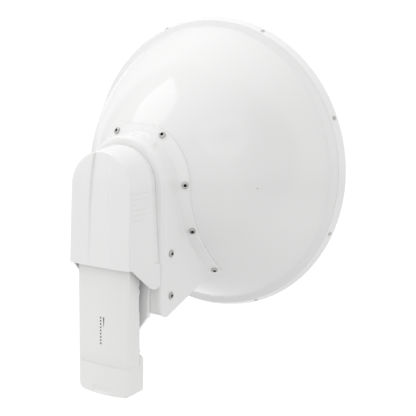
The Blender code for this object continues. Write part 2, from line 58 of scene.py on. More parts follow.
# Radome, whose box also gives the place of the dish axis and the rim
RADOME_LOW, RADOME_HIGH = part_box("radome")
RIM_RADIUS = (RADOME_HIGH.x - RADOME_LOW.x) / 2
DOME_BASE_RADIUS = 186.5 * MM
DOME_BASE_Y = 2.4 * MM
DOME_HEIGHT = 42.6 * MM
RADOME_WALL = 2.4 * MM
RIM_ROUND = 1.6 * MM
SKIRT_FRONT_Y = -0.4 * MM
SKIRT_INSIDE_Y = -1.4 * MM
RIM_CORNER = Vector((188.3, 1.4)) * MM
DOME_STEPS = 60
SKIRT_REAR_RADIUS = 184.5 * MM
SKIRT_REAR_Y = -10.6 * MM
SKIRT_EDGE_ROUND = 0.5 * MM
DISH_CENTRE = Vector((
    (RADOME_LOW.x + RADOME_HIGH.x) / 2,
    RADOME_HIGH.y - DOME_BASE_Y - DOME_HEIGHT,
    (RADOME_LOW.z + RADOME_HIGH.z) / 2,
))

# Reflector bowl
FOCAL_LENGTH = 45.9 * MM
VERTEX_Y = -184.5 * MM
BOWL_WALL = 2.2 * MM
BOWL_EDGE_RADIUS = 174.5 * MM
BOWL_STEP = 3.0 * MM
BOWL_EDGE_ROUND = 5.0 * MM
BAND_INNER = Vector((177.0, -15.4)) * MM
BAND_OUTER = Vector((184.1, -11.3)) * MM
BAND_INSIDE = Vector((176.4, -13.2)) * MM
LIP_OUTER_RADIUS = 181.6 * MM
LIP_WALL = 2.0 * MM
LIP_FRONT_Y = -2.6 * MM
LIP_FOOT_Y = -11.7 * MM
TURN_STEPS = 360

# Rear housing and its flange
HOUSING_HALF_WIDTH = DISH_CENTRE.x * -1
HOUSING_BACK_Y = -196.5 * MM
HOUSING_WALL = 3.0 * MM
HOUSING_EDGE_ROUND = 6.5 * MM
REAR_CORNER_ROUND = 10.5 * MM
FLANGE_HALF_WIDTH = 67.5 * MM
FLANGE_THICKNESS = 2.6 * MM
FLANGE_EDGE_ROUND = 0.7 * MM
FILLET = 5.0 * MM
UNDERSIDE_FRONT = Vector((-97.8, -122.2)) * MM
UNDERSIDE_REAR = Vector((-180.0, -151.5)) * MM
SUPPORT = 1.2 * MM
ARCH_STEPS = 72
HOUSING_SIDE_STEPS = 16
END_STEPS = 4
EDGE_STEPS = 4
FLANGE_STEPS = 5
FIT_ROUNDS = 6

# Screws on the rim and the flange, and bolts on the side plates
RIM_SCREW_COUNT = 8
RIM_SCREW_Y = -5.0 * MM
RIM_SCREW_HEAD = (5.6 * MM, 0.45 * MM, 2.0 * MM)
FLANGE_SCREW_RADIUS = 62.5 * MM
FLANGE_SCREW_SIDE_Z = (0.0, -55.0 * MM, -111.5 * MM)
FLANGE_SCREW_TOP_ANGLE = math.radians(60.0)
FLANGE_SCREW_HEAD = (8.4 * MM, 2.4 * MM, 3.6 * MM)
SIDE_BOLT_Y = -180.0 * MM
SIDE_BOLT_Z = (-78.5 * MM, -128.5 * MM)
SIDE_BOLT_HEAD = (8.2 * MM, 2.0 * MM, 3.6 * MM)
BOLT_SEAT_RADIUS = 5.4 * MM
BOLT_SEAT_DEPTH = 0.4 * MM
HEAD_SIDES = 36
HEAD_WALL_SHARE = 0.4
HEAD_EDGE_SHARE = 0.28
HEAD_ROUND_STEPS = 4
SOCKET_DEPTH_SHARE = 0.8
SOCKET_MOUTH_SHARE = 1.25
SOCKET_EDGE_SHARE = 0.95
RECESS_TOP_SHARE = 0.96
RECESS_REACH_SHARE = 0.55
HEAD_SINK = 0.15 * MM
SPIN_SEED = 7

# Radio cover
COVER_REAR_Y = HOUSING_BACK_Y - 0.15 * MM
COVER_FRONT_Y_AT_AXIS = -240.4 * MM
COVER_FRONT_LEAN = 0.04
COVER_CROWN = 2.2 * MM
COVER_WALL = 2.2 * MM
COVER_REAR_ARCH = 46.4 * MM
COVER_FRONT_ARCH = 41.3 * MM
COVER_REAR_FOOT_HALF = 51.8 * MM
COVER_FRONT_FOOT_HALF = 41.9 * MM
COVER_FLARE_END_Z = -90.0 * MM
COVER_SLOPE_START = Vector((-238.3, -89.0)) * MM
COVER_SLOPE_END = Vector((-212.5, -113.2)) * MM
COVER_SLOPE_BLEND = 2.4 * MM
COVER_TIP_Y = -203.5 * MM
COVER_TIP_BOTTOM_Z = -116.6 * MM
COVER_TIP_RISE = 3.3 * MM
COVER_EDGE_ROUND = 2.0 * MM
COVER_INSIDE_ROUND = 0.5 * MM
COVER_ARCH_STEPS = 96
COVER_EDGE_STEPS = 6
COVER_LEVEL_STEP = 4.0 * MM
COVER_FOOT_STEPS = 8
COVER_DEPTH_STEPS = 30
COVER_REAR_STEPS = 5
STRIP_COLUMNS = 6
STRIP_WALL_COLUMNS = 5
FACE_COLUMNS = 8

# Step round the cover's rear edge, with a raised shoulder in front of it
BAND_FRONT_Y = -205.0 * MM
BAND_DEPTH = 0.8 * MM
BAND_RAMP = 0.35 * MM
BAND_LEAN = 0.12
BAND_END_Z = -87.0 * MM
BAND_END_RAMP = 0.5 * MM
SHOULDER_RISE = 0.2 * MM
SHOULDER_RUN = 1.4 * MM

# Six fine lines on each side of the cover
LINE_COUNT = 6
LINE_FIRST_Z = -3.3 * MM
LINE_PITCH = 6.0 * MM
LINE_WIDTH = 0.8 * MM
LINE_DEPTH = 0.3 * MM
LINE_FRONT_Y = -238.0 * MM
LINE_REAR_Y = -208.7 * MM
LINE_REAR_SHIFT = -1.1 * MM
LINE_RAMP = 1.2 * MM
LINE_ROW_SHARES = (0.7, 0.5, 0.2, -0.2, -0.5, -0.7)

# Sunk strip down the cover's front
STRIP_TOP_DEPTH = 2.5 * MM
STRIP_FOOT_DEPTH = 0.4 * MM
STRIP_TOP_HALF = 9.0 * MM
STRIP_HALF = 12.2 * MM
STRIP_TOP_Z = 38.0 * MM
STRIP_NARROW_Z = -20.0 * MM
STRIP_FOOT_Z = -85.0 * MM
STRIP_WALL = 2.0 * MM
STRIP_FADE_DEPTH = 14.0 * MM
STRIP_INSIDE_SHARE = 0.5

# Radio unit
RADIO_HALF_WIDTH = 36.6 * MM
RADIO_CREASE = 0.4 * MM
RADIO_CREASE_Y = -224.0 * MM
RADIO_FRONT_Y = -235.6 * MM
RADIO_CROWN = 4.4 * MM
RADIO_CROWN_HALF = 34.6 * MM
RADIO_BACK_Y = -214.6 * MM
RADIO_TOP_Z = -18.0 * MM
RADIO_SEAM_Z = -206.5 * MM
RADIO_CORNER = 2.2 * MM
RADIO_EAR_HALF = 29.0 * MM
RADIO_EAR_ROUND = 0.9 * MM
CROWN_SHARE = 0.9
CROWN_STEPS = 14
EAR_STEPS = (
    (-112.0 * MM, -115.5 * MM, -216.0 * MM),
    (-123.5 * MM, -143.0 * MM, -215.6 * MM),
    (-188.0 * MM, -191.5 * MM, -213.1 * MM),
)
EAR_RAMP = 0.6 * MM
SHELL_TOP_ROUND = 2.0 * MM
SEAM_ROUND = 0.25 * MM
SEAM_GAP = 0.05 * MM
SEAM_END_Y = (-223.0 * MM, -220.0 * MM)
CAP_BACK_Y = -206.3 * MM
CAP_FOOT_TOP_Z = -195.8 * MM
CAP_FOOT_CHAMFER = 4.2 * MM
CAP_BOTTOM_Z = -241.6 * MM
CAP_BOTTOM_SAG = 0.5 * MM
CAP_CORNER_RADIUS = 6.0 * MM
CAP_EDGE_ROUND = 1.2 * MM
CAP_BACK_ROUND = 2.0 * MM
LATCH_HALF = 12.5 * MM
LATCH_TOP_Z = -229.0 * MM
LATCH_DEPTH = 0.9 * MM
LATCH_LIP_Z = -239.6 * MM
LATCH_LIP_RUN = 0.5 * MM
LATCH_SIDE_RUN = 0.4 * MM
LATCH_ROW_STEP = 1.5 * MM
LATCH_ROWS = 4
LATCH_COLUMNS = 4
CAP_CORNER_STEPS = 10
CAP_SAG_STEPS = 12
CAP_ROUND_STEPS = 6
CAP_SIDE_STEPS = 5

# Indicator dots and the wedge beside them
DOT_COUNT = 9
DOT_X = -0.6 * MM
DOT_TOP_Z = -149.6 * MM
DOT_PITCH = 3.84 * MM
DOT_SIZE = 1.9 * MM
DOT_PROUD = 0.1 * MM
DOT_ROUND = 0.05 * MM
WEDGE_X = (2.5 * MM, 4.7 * MM)
WEDGE_Z = (-148.8 * MM, -160.5 * MM)
WEDGE_FOOT_HALF = 0.2 * MM
WEDGE_LIFTS = (-0.1 * MM, 0.04 * MM)

# Heat sink and mounting plate behind the radio
PLATE_THICKNESS = 5.4 * MM
PLATE_HALF_WIDTH = 38.2 * MM
PLATE_WAIST = ((39.2 * MM, -121.0 * MM), (37.8 * MM, -132.0 * MM), (38.5 * MM, -142.0 * MM))
PLATE_TOP_Z = -24.0 * MM
PLATE_CHAMFER_Z = -152.0 * MM
PLATE_BOTTOM_HALF = 18.5 * MM
PLATE_BOTTOM_Z = -177.6 * MM
PLATE_EDGE_ROUND = 0.6 * MM
PLATE_CORNER = 4.0 * MM
PLATE_WAIST_ROUND = 12.0 * MM
SINK_HALF_WIDTH = 27.2 * MM
SINK_TOP_Z = -34.0 * MM
SINK_BOTTOM_Z = -194.0 * MM
SINK_BASE = 3.4 * MM
SINK_ROUND = 0.6 * MM
FIN_PITCH = 8.0 * MM
FIN_THICKNESS = 2.6 * MM
FIN_TIP_THICKNESS = 1.8 * MM
FIN_ROUND = 0.5 * MM

# Finishes
CLOUD_SCALE = 9.0
PLASTIC_IOR = 1.5
DUST_PLACE = DISH_CENTRE + Vector((123.1, -101.6, -6.3)) * MM
DUST_SIZE = 1.5 * MM

# Camera, floor and light
CAMERA_PLACE = Vector((0.69032, -1.12562, 0.19647))
CAMERA_LENS = 88.04
CAMERA_YAW = math.radians(31.79)
CAMERA_PITCH = math.radians(10.98)
CAMERA_ROLL = math.radians(0.88)
FLOOR_Z = -0.6
FLOOR_HALF = 30.0

# Studio light round the part: brightness at heights from straight down to straight up
SURROUND_LEVELS = (
    (-1.0, 0.45),
    (-0.6, 0.84),
    (-0.25, 0.4),
    (0.0, 0.78),
    (0.25, 0.66),
    (0.6, 0.55),
    (1.0, 0.67),
)
# Straight-edged panels: azimuth and elevation of the corners in degrees, softness, brightness
PANELS = {
    "window_softbox": (
        ((-73, 37), (-89, 43.5), (-96, 52), (-102, 59), (-56, 73.5), (-30, 68.5), (-25, 54.5)),
        0.012,
        1.2,
    ),
    "left_wall": (((-75, 30), (-75, -25), (-5, -25), (-5, 30)), 0.15, 0.18),
    "right_wall": (((75, 30), (75, -25), (10, -25), (10, 30)), 0.15, 0.39),
    "dark_doorway": (
        ((66, 0), (73, -14), (83, -19.5), (89, -15), (92, -7), (90, 44), (87, 55), (80, 57), (68, 12)),
        0.012,
        -0.3,
    ),
    "dark_flag": (((-133, 35), (-133, -25), (-100, -25), (-100, 35)), 0.03, -0.11),
    "dark_table": (((34, -1), (34, -6), (50, -12.5), (64, -17.5), (66, -2)), 0.012, -0.13),
}
# Broad glow of the key light round the window softbox: azimuth and elevation of its middle in
# degrees, the cosines from it where the glow begins and where it is full, and its brightness
KEY_GLOW = (-68.0, 55.0)
KEY_GLOW_REACH = (0.2, 0.98)
KEY_GLOW_LEVEL = 0.44
# White backdrop beyond the dish, which reaches overhead, and its two straight edges
BACKDROP_EDGES = (Vector((0.0, 1.0, -0.02)), Vector((0.36, 0.93, -0.02)))
BACKDROP_SOFTNESS = 0.015
BACKDROP_LEVEL = 0.27
# Reflecting umbrella seen at a slant: the tilt of its ovals, and of each oval the azimuth and
# elevation in degrees, the half-width and half-height on a unit sphere and the added light
UMBRELLA_TILT = math.radians(13.4)
UMBRELLA = (
    (60.0, 36.1, 0.219, 0.351, 0.5),
    (62.5, 36.3, 0.15, 0.215, -0.2),
    (64.6, 37.4, 0.065, 0.12, -0.25),
)
UMBRELLA_SOFTNESS = 0.1


def srgb(hex_colour):
    """Turn an sRGB hex colour into a linear RGBA value."""
    values = [int(hex_colour[i:i + 2], 16) / 255 for i in (0, 2, 4)]
    linear = [v / 12.92 if v <= 0.04045 else ((v + 0.055) / 1.055) ** 2.4 for v in values]
    return (*linear, 1.0)


def add_node(tree, kind, inputs=None, **settings):
    """Add a node with its settings. An input takes a value, a socket or a node's first output."""
    node = tree.nodes.new(kind)
    for name, value in settings.items():
        setattr(node, name, value)
    for key, value in (inputs or {}).items():
        if isinstance(value, bpy.types.Node):
            value = value.outputs[0]
        if isinstance(value, bpy.types.NodeSocket):
            tree.links.new(value, node.inputs[key])
        else:
            node.inputs[key].default_value = value
    return node


def empty_tree(owner):
    """Give a material or the world an empty node tree."""
    owner.use_nodes = True
    owner.node_tree.nodes.clear()
    return owner.node_tree


def coated_surface(name, tints, gloss, grain, coat=(), speck=()):
    """A coated or moulded surface: two close tints, slightly uneven gloss and a fine grain.

    Tints are hex colours, gloss is a pair of roughness values, grain is its size and height,
    coat is its strength, its roughness and how much the layer below it still shines,
    speck is the place and size of a grain of dust under the coat and its hex colour.
    """
    made = bpy.data.materials.new(name)
    tree = empty_tree(made)
    place = add_node(tree, "ShaderNodeTexCoord").outputs["Object"]
    cloud = add_node(tree, "ShaderNodeTexNoise", {"Vector": place, "Scale": CLOUD_SCALE, "Detail": 2.0})
    fine = add_node(tree, "ShaderNodeTexNoise", {"Vector": place, "Scale": 1 / grain[0], "Detail": 2.0})
    # A colour mix takes its share in socket 0 and its colours in 6 and 7, and gives its result in 2
    mix = {0: cloud, 6: srgb(tints[0]), 7: srgb(tints[1])}
    colour = add_node(tree, "ShaderNodeMix", mix, data_type="RGBA").outputs[2]
    if speck:
        colour = add_speck(tree, place, colour, *speck)
    rough = add_node(tree, "ShaderNodeMapRange", {"Value": cloud, "To Min": gloss[0], "To Max": gloss[1]})
    bump = add_node(tree, "ShaderNodeBump", {"Height": fine, "Distance": grain[1]})
    links = {"Base Color": colour, "Roughness": rough, "Normal": bump}
    shader = add_node(tree, "ShaderNodeBsdfPrincipled", links)
    shader.inputs["IOR"].default_value = PLASTIC_IOR
    for label, value in zip(("Coat Weight", "Coat Roughness", "Specular IOR Level"), coat):
        shader.inputs[label].default_value = value
    add_node(tree, "ShaderNodeOutputMaterial", {"Surface": shader})
    return made


def add_speck(tree, place, colour, middle, size, speck_colour):
    """Darken a colour at one small round speck."""
    away = add_node(tree, "ShaderNodeVectorMath", {0: place, 1: middle}, operation="DISTANCE").outputs[1]
    fade = {"Value": away, "From Min": size / 4, "From Max": size / 2, "To Min": 1.0, "To Max": 0.0}
    mix = {0: add_node(tree, "ShaderNodeMapRange", fade), 6: colour, 7: srgb(speck_colour)}
    return add_node(tree, "ShaderNodeMix", mix, data_type="RGBA").outputs[2]


def bare_metal(name, tints, gloss, grain):
    """Bare metal with two close tints and a fine, uneven grain."""
    made = coated_surface(name, tints, gloss, grain)
    made.node_tree.nodes["Principled BSDF"].inputs["Metallic"].default_value = 1.0
    return made


def skin(bm, rows):
    """Join neighbouring rows of points with four-sided faces."""
    corners = [[bm.verts.new(point) for point in row] for row in rows]
    for low, high in zip(corners, corners[1:]):
        for i in range(len(low) - 1):
            bm.faces.new((low[i], low[i + 1], high[i + 1], high[i]))


def closed_mesh(bm):
    """Weld a shape, turn its faces outwards and return it as a mesh."""
    bmesh.ops.remove_doubles(bm, verts=bm.verts, dist=SAME_PLACE)
    bmesh.ops.recalc_face_normals(bm, faces=bm.faces)
    mesh = bpy.data.meshes.new("shape")
    bm.to_mesh(mesh)
    bm.free()
    return mesh


def skinned(*grids):
    """A closed mesh whose surface is made of grids, each of them rows of points."""
    bm = bmesh.new()
    for rows in grids:
        skin(bm, rows)
    return closed_mesh(bm)


def add_object(name, data):
    made = bpy.data.objects.new(name, data)
    bpy.context.scene.collection.objects.link(made)
    return made


def finished_mesh(guide, *tools):
    """Return the evaluated mesh of a guide object, and remove the guide and its tools."""
    bpy.context.view_layer.update()
    graph = bpy.context.evaluated_depsgraph_get()
    mesh = bpy.data.meshes.new_from_object(guide.evaluated_get(graph))
    for item in (guide, *tools):
        bpy.data.objects.remove(item, do_unlink=True)
    return mesh


def run_tree(mesh, tree, values):
    """Run a node tree on a mesh with named inputs and return a plain mesh."""
    guide = add_object("guide", mesh)
    modifier = guide.modifiers.new("Shape", "NODES")
    modifier.node_group = tree
    for item in tree.interface.items_tree:
        if item.in_out == "INPUT" and item.name in values:
            modifier[item.identifier] = values[item.name]
    tools = [value for value in values.values() if isinstance(value, bpy.types.Object)]
    return finished_mesh(guide, *tools)


def cut_away(mesh, tool_mesh):
    """Cut one closed mesh out of another."""
    guide = add_object("guide", mesh)
    change = guide.modifiers.new("Cut", "BOOLEAN")
    change.operation = "DIFFERENCE"
    change.solver = "EXACT"
    change.object = add_object("tool", tool_mesh)
    return finished_mesh(guide, change.object)


def place_piece(name, mesh, nodes, finish=None):
    """Move a mesh from the dish's frame to the part's, as a piece that stands for its solids."""
    mesh.transform(Matrix.Translation(DISH_CENTRE))
    if finish:
        mesh.materials.clear()
        mesh.materials.append(finish)
    mesh.shade_smooth()
    mesh.set_sharp_from_angle(angle=SMOOTH_ANGLE)
    mesh.name = name
    piece = add_object(name, mesh)
    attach(piece, "root")
    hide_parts(*nodes)


def rounded(points, radii, steps=ROUND_STEPS):
    """Round the inner corners of an open line of 2D points by the given radii."""
    line = [Vector(points[0])]
    for before, corner, after, radius in zip(points, points[1:], points[2:], radii):
        if radius == 0:
            line.append(Vector(corner))
            continue
        back = (Vector(before) - Vector(corner)).normalized()
        ahead = (Vector(after) - Vector(corner)).normalized()
        half = back.angle(ahead) / 2
        centre = Vector(corner) + (back + ahead).normalized() * radius / math.sin(half)
        start = Vector(corner) + back * radius / math.tan(half) - centre
        end = Vector(corner) + ahead * radius / math.tan(half) - centre
        turn = start.angle(end)
        for step in range(steps + 1):
            share = step / steps
            arm = start * math.sin((1 - share) * turn) + end * math.sin(share * turn)
            line.append(centre + arm / math.sin(turn))
    line.append(Vector(points[-1]))
    return line


def way(value, start, end):
    """Share of the way from start to end, never below 0 or above 1."""
    return min(max((value - start) / (end - start), 0.0), 1.0)


def ramp(value, start, end):
    """A smooth rise from 0 at start to 1 at end."""
    share = way(value, start, end)
    return share * share * (3 - 2 * share)


def quarter(steps, first=0):
    """Sine and cosine at even steps of a quarter turn."""
    angles = [math.pi / 2 * step / steps for step in range(first, steps + 1)]
    return [(math.sin(angle), math.cos(angle)) for angle in angles]


def spread(start, run, steps, first=0):
    """Values at even steps of a run from a start."""
    return [start + run * step / steps for step in range(first, steps + 1)]


def spoke(angle):
    """Direction away from the dish axis, at an angle up from the right side."""
    return Vector((math.cos(angle), 0.0, math.sin(angle)))


def new_tree(name, kinds):
    """Start a geometry tree, and return it with its inputs, which are given by name and kind."""
    tree = bpy.data.node_groups.new(name, "GeometryNodeTree")
    for label, kind in kinds.items():
        tree.interface.new_socket(label, in_out="INPUT", socket_type="NodeSocket" + kind)
    tree.interface.new_socket("Shape", in_out="OUTPUT", socket_type="NodeSocketGeometry")
    return tree, add_node(tree, "NodeGroupInput").outputs


def dressed(tree, shape, finish):
    """Make a tree's instances real and give the whole shape one material."""
    real = add_node(tree, "GeometryNodeRealizeInstances", {"Geometry": shape})
    return add_node(tree, "GeometryNodeSetMaterial", {"Geometry": real, "Material": finish})


def turned_tree():
    """A tree that turns a profile of (radius, y) points round the dish axis."""
    kinds = {"Profile": "Geometry", "Steps Round": "Int", "Weld Distance": "Float", "Finish": "Material"}
    tree, given = new_tree("turned_from_profile", kinds)
    count = add_node(tree, "GeometryNodeAttributeDomainSize", {"Geometry": given["Profile"]})
    columns = add_node(tree, "FunctionNodeIntegerMath", {0: given["Steps Round"], 1: 1}, operation="ADD")
    grid = add_node(tree, "GeometryNodeMeshGrid", {"Vertices X": columns, "Vertices Y": count})
    index = add_node(tree, "GeometryNodeInputIndex")
    column = add_node(tree, "FunctionNodeIntegerMath", {0: index, 1: count}, operation="DIVIDE_FLOOR")
    row = add_node(tree, "FunctionNodeIntegerMath", {0: index, 1: count}, operation="MODULO")
    place = add_node(tree, "GeometryNodeInputPosition")
    point = add_node(
        tree,
        "GeometryNodeSampleIndex",
        {"Geometry": given["Profile"], "Value": place, "Index": row},
        data_type="FLOAT_VECTOR",
        domain="POINT",
    )
    share = add_node(tree, "ShaderNodeMath", {0: column, 1: given["Steps Round"]}, operation="DIVIDE")
    angle = add_node(tree, "ShaderNodeMath", {0: share, 1: 2 * math.pi}, operation="MULTIPLY")
    turn = {"Vector": point, "Angle": angle}
    turned = add_node(tree, "ShaderNodeVectorRotate", turn, rotation_type="Y_AXIS")
    moved = add_node(tree, "GeometryNodeSetPosition", {"Geometry": grid, "Position": turned})
    weld = {"Geometry": moved, "Distance": given["Weld Distance"]}
    welded = add_node(tree, "GeometryNodeMergeByDistance", weld)
    add_node(tree, "NodeGroupOutput", {"Shape": dressed(tree, welded, given["Finish"])})
    return tree


def instance_tree():
    """A tree that sets one small thing on each point, along the point's facing direction."""
    kinds = {
        "Points": "Geometry",
        "Thing": "Object",
        "Largest Spin": "Float",
        "Seed": "Int",
        "Finish": "Material",
        "Recess Painted Shade": "Material",
    }
    tree, given = new_tree("set_on_points", kinds)
    thing = add_node(tree, "GeometryNodeObjectInfo", {"Object": given["Thing"]}).outputs["Geometry"]
    facing = add_node(tree, "GeometryNodeInputNamedAttribute", {"Name": "facing"}, data_type="FLOAT_VECTOR")
    aligned = add_node(tree, "FunctionNodeAlignRotationToVector", {"Vector": facing}, axis="Z")
    limits = {3: given["Largest Spin"], "Seed": given["Seed"]}
    spin = add_node(tree, "FunctionNodeRandomValue", limits, data_type="FLOAT").outputs[1]
    about = add_node(tree, "FunctionNodeAxisAngleToRotation", {"Axis": (0.0, 0.0, 1.0), "Angle": spin})
    turn = {"Rotation": aligned, "Rotate By": about}
    turned = add_node(tree, "FunctionNodeRotateRotation", turn, rotation_space="LOCAL")
    setting = {"Points": given["Points"], "Instance": thing, "Rotation": turned}
    placed = add_node(tree, "GeometryNodeInstanceOnPoints", setting)
    whole = dressed(tree, placed, given["Finish"])
    # Faces marked as the socket's recess get the second material, which is painted shade
    recess = add_node(tree, "GeometryNodeInputNamedAttribute", {"Name": "recess"}, data_type="BOOLEAN")
    second = {"Geometry": whole, "Selection": recess, "Material": given["Recess Painted Shade"]}
    add_node(tree, "NodeGroupOutput", {"Shape": add_node(tree, "GeometryNodeSetMaterial", second)})
    return tree


def things_on_points(points, thing, spin, finishes):
    """Set a small mesh on each (place, direction) pair and return one plain mesh."""
    mesh = bpy.data.meshes.new("points")
    mesh.from_pydata([place for place, _ in points], [], [])
    facing = mesh.attributes.new("facing", "FLOAT_VECTOR", "POINT")
    for item, (_, direction) in zip(facing.data, points):
        item.vector = direction
    values = {"Thing": add_object("thing", thing), "Largest Spin": spin, "Seed": SPIN_SEED}
    values |= {"Finish": finishes[0], "Recess Painted Shade": finishes[1]}
    return run_tree(mesh, SET_ON_POINTS, values)


def bowl_y(radius):
    """Height of the outer bowl surface along the dish axis."""
    return VERTEX_Y + radius * radius / (4 * FOCAL_LENGTH)


def bowl_normal(radius):
    """Outward normal of the bowl at a radius, as (radial, y)."""
    return Vector((radius / (2 * FOCAL_LENGTH), -1.0)).normalized()


def bowl_curve(offset):
    """Points from the axis outwards on the surface that lies an offset outside the bowl."""
    count = round(BOWL_EDGE_RADIUS / BOWL_STEP)
    points = []
    for step in range(count + 1):
        radius = BOWL_EDGE_RADIUS * step / count
        points.append(Vector((radius, bowl_y(radius))) + bowl_normal(radius) * offset)
    points[0].x = 0.0
    return points


def turned_shape(outer, edge, inner, finish):
    """Turn a profile of (radius, y) points into a closed mesh with its faces outwards.

    The profile runs out along the outer line, round the edge and back along the inner line.
    """
    points = [(radius, y, 0.0) for radius, y in outer[:-2] + edge + inner[-2::-1]]
    guide = bpy.data.meshes.new("profile")
    guide.from_pydata(points, [(i, i + 1) for i in range(len(points) - 1)], [])
    values = {"Steps Round": TURN_STEPS, "Weld Distance": SAME_PLACE, "Finish": finish}
    mesh = run_tree(guide, TURNED_FROM_PROFILE, values)
    bm = bmesh.new()
    bm.from_mesh(mesh)
    bmesh.ops.recalc_face_normals(bm, faces=bm.faces)
    bm.to_mesh(mesh)
    bm.free()
    return mesh


def build_reflector(paint):
    """The spun bowl with its soft edge, the flat band and the lip inside the radome."""
    outer = bowl_curve(0.0)
    inner = bowl_curve(-BOWL_WALL)
    run_in = (outer[-1] - outer[-2]).normalized()
    band = BAND_OUTER - BAND_INNER
    away = BAND_INNER - outer[-1]
    reach = (away.x * band.y - away.y * band.x) / (run_in.x * band.y - run_in.y * band.x)
    lip_rear_y = BAND_OUTER.y + GAP
    edge = rounded(
        [
            outer[-2],
            outer[-1] + run_in * reach,
            BAND_OUTER,
            (BAND_OUTER.x, lip_rear_y),
            (LIP_OUTER_RADIUS, lip_rear_y),
            (LIP_OUTER_RADIUS, LIP_FRONT_Y),
            (LIP_OUTER_RADIUS - LIP_WALL, LIP_FRONT_Y),
            (LIP_OUTER_RADIUS - LIP_WALL, LIP_FOOT_Y),
            BAND_INSIDE,
            inner[-1],
        ],
        [BOWL_EDGE_ROUND, 0, 0, 0, 0, 0, 0, 0],
    )
    mesh = turned_shape(outer, edge, inner, paint)
    place_piece("spun_bowl", mesh, ["reflector_bowl"])


def dome_curve(wall):
    """Points from the axis outwards on the radome's dome, a wall's thickness inside it."""
    sphere = (DOME_BASE_RADIUS ** 2 + DOME_HEIGHT ** 2) / (2 * DOME_HEIGHT)
    centre_y = DOME_BASE_Y + DOME_HEIGHT - sphere
    opening = math.asin(DOME_BASE_RADIUS / sphere)
    points = []
    for step in range(DOME_STEPS + 1):
        angle = opening * step / DOME_STEPS
        reach = sphere - wall
        points.append(Vector((reach * math.sin(angle), centre_y + reach * math.cos(angle))))
    points[0].x = 0.0
    return points


def build_radome(plastic):
    """The moulded dome with a rounded rim and a conical skirt."""
    outer = dome_curve(0.0)
    inner = dome_curve(RADOME_WALL)
    edge = rounded(
        [
            outer[-2],
            outer[-1],
            RIM_CORNER,
            (RIM_RADIUS, SKIRT_FRONT_Y),
            (SKIRT_REAR_RADIUS, SKIRT_REAR_Y),
            (SKIRT_REAR_RADIUS - RADOME_WALL, SKIRT_REAR_Y),
            (RIM_RADIUS - RADOME_WALL, SKIRT_INSIDE_Y),
            inner[-1],
        ],
        [RIM_ROUND, RIM_ROUND, RIM_ROUND, SKIRT_EDGE_ROUND, SKIRT_EDGE_ROUND, 0],
    )
    mesh = turned_shape(outer, edge, inner, plastic)
    place_piece("moulded_radome", mesh, ["radome"])


def screw_head(size):
    """A low round head with a hexagon socket, standing on the plane z = 0."""
    diameter, height, across = size
    radius = diameter / 2
    floor = height * (1 - SOCKET_DEPTH_SHARE)
    rings = [(0.0, 0.0, False), (radius, 0.0, False), (radius, HEAD_WALL_SHARE * height, False)]
    for rise, run in quarter(HEAD_ROUND_STEPS, 1):
        draw_in = HEAD_EDGE_SHARE * radius * (1 - run)
        rings.append((radius - draw_in, height * (HEAD_WALL_SHARE + (1 - HEAD_WALL_SHARE) * rise), False))
    rings += [
        (across / 2 * SOCKET_MOUTH_SHARE, height, False),
        (across / 2, height * SOCKET_EDGE_SHARE, True),
        (across / 2, floor, True),
        (0.0, floor, False),
    ]
    rows = []
    for reach, z, six_sided in rings:
        row = []
        for side in range(HEAD_SIDES + 1):
            angle = 2 * math.pi * side / HEAD_SIDES
            from_flat = (angle + math.pi / 6) % (math.pi / 3) - math.pi / 6
            length = reach / math.cos(from_flat) if six_sided else reach
            row.append((length * math.cos(angle), length * math.sin(angle), z))
        rows.append(row)
    mesh = skinned(rows)
    # Mark the faces deep in the socket, where dark steel is put as painted shade
    recess = mesh.attributes.new("recess", "BOOLEAN", "FACE")
    for face in mesh.polygons:
        low = floor / 2 < face.center.z < height * RECESS_TOP_SHARE
        near = math.hypot(face.center.x, face.center.y) < across * RECESS_REACH_SHARE
        recess.data[face.index].value = low and near
    return mesh


def build_screws(steel, shadow):
    """The rim screws, the flange screws and the side bolts, each group as one mesh."""
    skirt = Vector((SKIRT_REAR_RADIUS - RIM_RADIUS, SKIRT_REAR_Y - SKIRT_FRONT_Y))
    share = (RIM_SCREW_Y - SKIRT_FRONT_Y) / skirt.y
    out = Vector((-skirt.y, skirt.x)).normalized()
    rim = []
    for index in range(RIM_SCREW_COUNT):
        arm = spoke(2 * math.pi * (index + 0.5) / RIM_SCREW_COUNT)
        place = arm * (RIM_RADIUS + share * skirt.x) + Vector((0.0, RIM_SCREW_Y, 0.0))
        rim.append((place, arm * out.x + Vector((0.0, out.y, 0.0))))
    slant = FLANGE_SCREW_TOP_ANGLE
    rows = [(FLANGE_SCREW_RADIUS * math.cos(slant), FLANGE_SCREW_RADIUS * math.sin(slant))]
    rows += [(FLANGE_SCREW_RADIUS, z) for z in FLANGE_SCREW_SIDE_Z]
    flange = []
    side = []
    for sign in (1, -1):
        for x, z in rows:
            radius = math.hypot(x, z)
            normal = bowl_normal(radius)
            facing = Vector((sign * x / radius * normal.x, normal.y, z / radius * normal.x))
            place = Vector((sign * x, bowl_y(radius), z)) + facing * (FLANGE_THICKNESS + GAP - HEAD_SINK)
            flange.append((place, facing))
        for z in SIDE_BOLT_Z:
            place = Vector((sign * (HOUSING_HALF_WIDTH - BOLT_SEAT_DEPTH), SIDE_BOLT_Y, z))
            side.append((place, Vector((sign, 0.0, 0.0))))
    # Flange screws and side bolts get painted shade at the bottom of their sockets; rim screws keep plain
    # steel there
    groups = (
        ("rim_screw", rim, RIM_SCREW_HEAD, (steel, steel)),
        ("flange_screw", flange, FLANGE_SCREW_HEAD, (steel, shadow)),
        ("side_bolt", side, SIDE_BOLT_HEAD, (steel, shadow)),
    )
    for name, points, size, finishes in groups:
        nodes = [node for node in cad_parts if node.startswith(name)]
        mesh = things_on_points(points, screw_head(size), 2 * math.pi, finishes)
        place_piece(name + "s", mesh, nodes)


